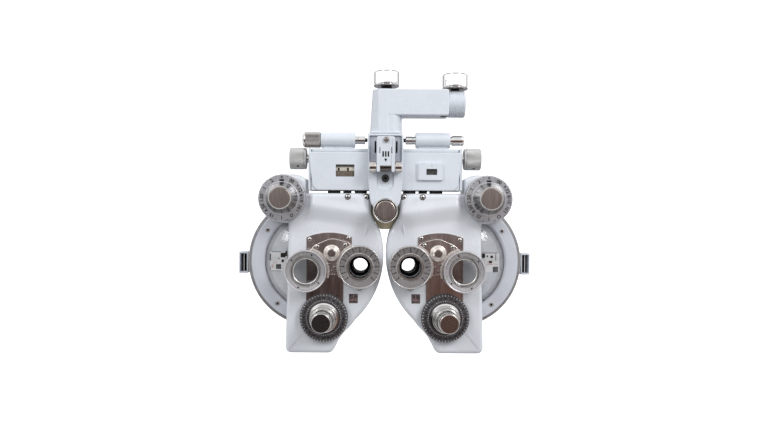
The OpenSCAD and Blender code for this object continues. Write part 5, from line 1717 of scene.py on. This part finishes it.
class PHOROPTER_OT_sights(bpy.types.Operator):
    """Alignment sights at the outer edges: grey frame, dark inside, and the light hair line"""

    bl_idname = "phoropter.sights"
    bl_label = "Sights"

    def execute(self, context):
        for name, s in SIDES.items():
            body = "head_" + name
            frame_shape = rounded((114.1, 123.4, -9.4, 12.5, 1.0), 160, 25.0, 39.9, 0.7)
            obj = piece(
                "sight_frame_" + name,
                [frame_shape],
                "powder_coat_fine",
                body,
                ["sight_" + name],
                s,
            )
            cut_away(obj, [cutter([slab(rect(115.4, 122.1, -7.6, 10.7, 0.4), 20, 45, 0.01)], s)])
            web = rounded((104.5, 114.6, -7.0, 10.0, 0.6), 120, 32.2, 39.6, 0.5)
            piece("sight_web_" + name, [web], "powder_coat_fine", body, side=s)
            well = rounded((115.2, 122.3, -7.8, 10.9, 0.3), 100, 37.0, 39.5, 0.1)
            piece("sight_well_" + name, [well], "matt_black", body, side=s)
            hair = bars((118.2, 27.2, -7.7), (118.9, 27.9, 10.8))
            piece("sight_hair_" + name, [hair], "label_board", body, side=s)
        return {"FINISHED"}


# Remaining nodes of the frame


def bevelled_copy(node, finish, body, width):
    """Copy of a CAD node with its flat faces merged and its sharp edges rounded, shown in the node's place."""
    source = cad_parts[node]
    mesh = source.data.copy()
    mesh.name = node + "_cast"
    mesh.transform(source.matrix_world)
    mesh.materials.clear()
    bm = bmesh.new()
    bm.from_mesh(mesh)
    bmesh.ops.remove_doubles(bm, verts=bm.verts, dist=1e-6)
    bmesh.ops.dissolve_limit(bm, angle_limit=np.radians(1.0), verts=bm.verts, edges=bm.edges)
    bm.to_mesh(mesh)
    bm.free()
    mesh.materials.append(look(finish))
    obj = bpy.data.objects.new(mesh.name, mesh)
    bpy.context.scene.collection.objects.link(obj)
    bevel = obj.modifiers.new("edges", "BEVEL")
    bevel.width = width / 1000
    bevel.segments = 3
    bevel.limit_method = "ANGLE"
    bevel.angle_limit = np.radians(35)
    bevel.use_clamp_overlap = True
    mesh.shade_smooth()
    mesh.set_sharp_from_angle(angle=np.radians(35))
    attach(obj, body)
    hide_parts(node)
    return obj


# Nodes that keep their CAD mesh, with their finishes
KEPT = {
    "sphere_wheel": "satin_aluminium", "sphere_lenses": "lens_glass", "aux_disc": "black_oxide",
    "cyl_disc": "black_oxide",
}


class PHOROPTER_OT_frame_parts(bpy.types.Operator):
    """Rounded edges and finishes for the castings and inner parts that keep their CAD form"""

    bl_idname = "phoropter.frame_parts"
    bl_label = "Rear covers and inner parts"

    def execute(self, context):
        for name in SIDES:
            bevelled_copy("rear_cover_" + name, "powder_coat_fine", "head_" + name, 1.2)
            bevelled_copy("carriage_" + name, "black_oxide", "carriage_" + name, 0.4)
            bevelled_copy("face_shield_" + name, "moulded_black", "head_" + name, 0.5)
            for node, coat in KEPT.items():
                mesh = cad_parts[node + "_" + name].data
                if not mesh.materials:
                    mesh.materials.append(None)
                for index in range(len(mesh.materials)):
                    mesh.materials[index] = look(coat)
        return {"FINISHED"}


# Camera, floor and light

# Fitted to the photograph: place in instrument mm, focal length in mm, shift in frame widths, roll in degrees
CAMERA_AT, CAMERA_LENS, CAMERA_SHIFT, CAMERA_ROLL = (-10.8, -740, 43.2), 35.32, (0.0130, 0.0078), -0.35


def area(name, at, aim, size, power, colour=(1, 1, 1)):
    """Rectangular light at a point in instrument mm, aimed at another; its size is in metres."""
    light = bpy.data.lights.new(name, "AREA")
    light.shape = "RECTANGLE"
    light.size, light.size_y = size
    light.energy = power
    light.color = colour
    obj = bpy.data.objects.new(name, light)
    bpy.context.scene.collection.objects.link(obj)
    place, target = Vector(to_row(at)), Vector(to_row(aim))
    obj.location = place
    obj.rotation_euler = (target - place).to_track_quat("-Z", "Y").to_euler()
    return obj


def backdrop():
    """Sweep of pale paper: floor, a quarter circle, then the wall, all one sheet. It is there to be seen, and the
    studio round it gives the light."""
    material, tree, shader = new_material("backdrop_paper")
    noise = add(
        tree, "ShaderNodeTexNoise", {"Scale": 3.0, "Vector": add(tree, "ShaderNodeTexCoord").outputs["Object"]}
    )
    tone = ramp(tree, noise.outputs["Fac"], [(NOISE_LOW, linear("#FAFAFB")), (NOISE_HIGH, linear("#FFFFFF"))])
    tree.links.new(tone, shader.inputs["Base Color"])
    tree.links.new(tone, shader.inputs["Emission Color"])
    shader.inputs["Roughness"].default_value = 0.9
    shader.inputs["Emission Strength"].default_value = 0.75
    bend = np.linspace(0, np.pi / 2, 25)
    low, wall, radius = -215.0, 2400.0, 700.0
    y = np.r_[-3200.0, wall - radius + radius * np.sin(bend), wall]
    z = np.r_[low, low + radius * (1 - np.cos(bend)), 3600.0]
    x = np.linspace(-4200, 4200, 3)
    grid = np.stack(np.broadcast_arrays(x[None, :], y[:, None], z[:, None]), -1)
    mesh = bpy.data.meshes.new("backdrop")
    mesh.from_pydata(to_row(grid).reshape(-1, 3), [], grid_faces(len(y), len(x), False).tolist())
    mesh.shade_smooth()
    mesh.materials.append(material)
    sheet = bpy.data.objects.new("backdrop", mesh)
    bpy.context.scene.collection.objects.link(sheet)
    sheet.visible_diffuse = False
    sheet.visible_glossy = False
    sheet.visible_shadow = False
    return sheet


def studio():
    """White studio: pale to the camera, soft light that fades downwards for the paint, and for polished metal a dim
    brown room in front of the instrument, from just above its level down to the floor."""
    world = bpy.data.worlds.new("studio")
    world.use_nodes = True
    sky = world.node_tree
    sky.nodes.clear()
    split = add(sky, "ShaderNodeSeparateXYZ", {"Vector": add(sky, "ShaderNodeTexCoord").outputs["Generated"]})
    x, y, z = split.outputs
    levels = ((0.0, 0.12), (0.34, 0.3), (0.5, 0.68), (1.0, 0.84))
    stops = [(place, (0.97 * level, 0.985 * level, level, 1)) for place, level in levels]
    soft_light = ramp(sky, between(sky, z, -1.0, 1.0), stops)
    front = between(sky, y, -0.35, -0.7)
    under = between(sky, z, 0.12, 0.03)
    over = between(sky, z, -0.85, -0.7)
    dim = add(sky, "ShaderNodeMath", {0: front, 1: under}, operation="MULTIPLY")
    dim = add(sky, "ShaderNodeMath", {0: dim.outputs[0], 1: over}, operation="MULTIPLY")
    # The room is darker low on the left and browner on the right
    lower = add(
        sky,
        "ShaderNodeMix",
        {"Factor": between(sky, x, -0.12, 0.16), "A": linear("#2B272A"), "B": linear("#7E6158")},
        data_type="RGBA",
    )
    tone = add(
        sky,
        "ShaderNodeMix",
        {"Factor": between(sky, z, -0.075, -0.01), "A": lower.outputs[2], "B": linear("#8A8080")},
        data_type="RGBA",
    )
    # Behind the instrument the white falls off to grey, which draws the edges of polished and painted pieces
    rear = add(
        sky,
        "ShaderNodeMath",
        {0: between(sky, z, 0.45, 0.2), 1: between(sky, y, 0.3, 0.8)},
        operation="MULTIPLY",
    )
    white = add(
        sky,
        "ShaderNodeMix",
        {"Factor": rear.outputs[0], "A": (1.2, 1.2, 1.21, 1), "B": (0.36, 0.36, 0.38, 1)},
        data_type="RGBA",
    )
    room = add(
        sky,
        "ShaderNodeMix",
        {"Factor": dim.outputs[0], "A": white.outputs[2], "B": tone.outputs[2]},
        data_type="RGBA",
    )
    # What is seen straight or through glass is white; a mirrored view stays mirrored when it passes glass again
    path = add(sky, "ShaderNodeLightPath").outputs
    mirrored = add(sky, "ShaderNodeMath", {0: path["Glossy Depth"], 1: 1.0}, operation="MINIMUM")
    through = add(
        sky, "ShaderNodeMath", {0: path["Is Transmission Ray"], 1: mirrored.outputs[0]}, operation="MULTIPLY"
    )
    straight = add(
        sky,
        "ShaderNodeMath",
        {0: path["Is Transmission Ray"], 1: mirrored.outputs[0]},
        operation="GREATER_THAN",
    )
    seen = add(sky, "ShaderNodeMath", {0: path["Is Camera Ray"], 1: straight.outputs[0]}, operation="MAXIMUM")
    glossy = add(sky, "ShaderNodeMath", {0: path["Is Glossy Ray"], 1: through.outputs[0]}, operation="MAXIMUM")
    paint = add(sky, "ShaderNodeBackground", {"Color": soft_light, "Strength": 1.0})
    metal = add(sky, "ShaderNodeBackground", {"Color": room.outputs[2], "Strength": 1.0})
    clean = add(sky, "ShaderNodeBackground", {"Color": (1, 1, 1, 1), "Strength": 1.0})
    lit = add(sky, "ShaderNodeMixShader", {0: glossy.outputs[0], 1: paint.outputs[0], 2: metal.outputs[0]})
    both = add(sky, "ShaderNodeMixShader", {0: seen.outputs[0], 1: lit.outputs[0], 2: clean.outputs[0]})
    add(sky, "ShaderNodeOutputWorld", {"Surface": both.outputs[0]})
    return world


class PHOROPTER_OT_stage(bpy.types.Operator):
    """Pale floor with its backdrop, studio lights and the camera of the photograph"""

    bl_idname = "phoropter.stage"
    bl_label = "Stage and camera"

    def execute(self, context):
        scene = context.scene
        scene.view_settings.view_transform = "Standard"
        sheet = backdrop()
        lights = [
            area("key_left", (-700, -1000, 650), (0, 0, 40), (0.3, 0.6), 3.6),
            area("key_right", (750, -950, 720), (0, 0, 40), (0.3, 0.6), 7.5),
        ]
        scene.world = studio()
        camera = bpy.data.cameras.new("photo_camera")
        camera.lens = CAMERA_LENS
        camera.sensor_width = 36.0
        camera.shift_x, camera.shift_y = CAMERA_SHIFT
        camera.dof.use_dof = False
        view = bpy.data.objects.new("photo_camera", camera)
        scene.collection.objects.link(view)
        view.location = to_row(CAMERA_AT)
        view.rotation_euler = (np.pi / 2, np.radians(CAMERA_ROLL), 0)
        scene.camera = view
        return {"FINISHED"}


# Panel and run

PIECES = (
    PHOROPTER_OT_arm,
    PHOROPTER_OT_clamp_knobs,
    PHOROPTER_OT_hanger,
    PHOROPTER_OT_rod_holder,
    PHOROPTER_OT_crossbar,
    PHOROPTER_OT_levelling,
    PHOROPTER_OT_distance_knobs,
    PHOROPTER_OT_windows,
    PHOROPTER_OT_forehead,
    PHOROPTER_OT_casings,
    PHOROPTER_OT_drums,
    PHOROPTER_OT_auxiliary_dials,
    PHOROPTER_OT_turrets,
    PHOROPTER_OT_prisms,
    PHOROPTER_OT_cross_cylinders,
    PHOROPTER_OT_cylinder_dials,
    PHOROPTER_OT_sights,
    PHOROPTER_OT_frame_parts,
    PHOROPTER_OT_stage,
)


class PHOROPTER_PT_panel(bpy.types.Panel):
    """Sizes, colours and build steps of the phoropter"""

    bl_label = "Manual phoropter"
    bl_idname = "PHOROPTER_PT_panel"
    bl_space_type = "VIEW_3D"
    bl_region_type = "UI"
    bl_category = "Phoropter"

    def draw(self, context):
        for group in (context.scene.phoropter_sizes, context.scene.phoropter_colours):
            for key in group.__annotations__:
                self.layout.prop(group, key)
        for operator in PIECES:
            self.layout.operator(operator.bl_idname)


CLASSES = (PhoropterSizes, PhoropterColours, *PIECES, PHOROPTER_PT_panel)


def register():
    for cls in CLASSES:
        bpy.utils.register_class(cls)
    bpy.types.Scene.phoropter_sizes = bpy.props.PointerProperty(type=PhoropterSizes)
    bpy.types.Scene.phoropter_colours = bpy.props.PointerProperty(type=PhoropterColours)


def unregister():
    del bpy.types.Scene.phoropter_colours
    del bpy.types.Scene.phoropter_sizes
    for cls in reversed(CLASSES):
        bpy.utils.unregister_class(cls)


def main():
    """Build every piece in order."""
    register()
    for operator in PIECES:
        group, name = operator.bl_idname.split(".")
        getattr(getattr(bpy.ops, group), name)()


if __name__ == "__main__":
    main()
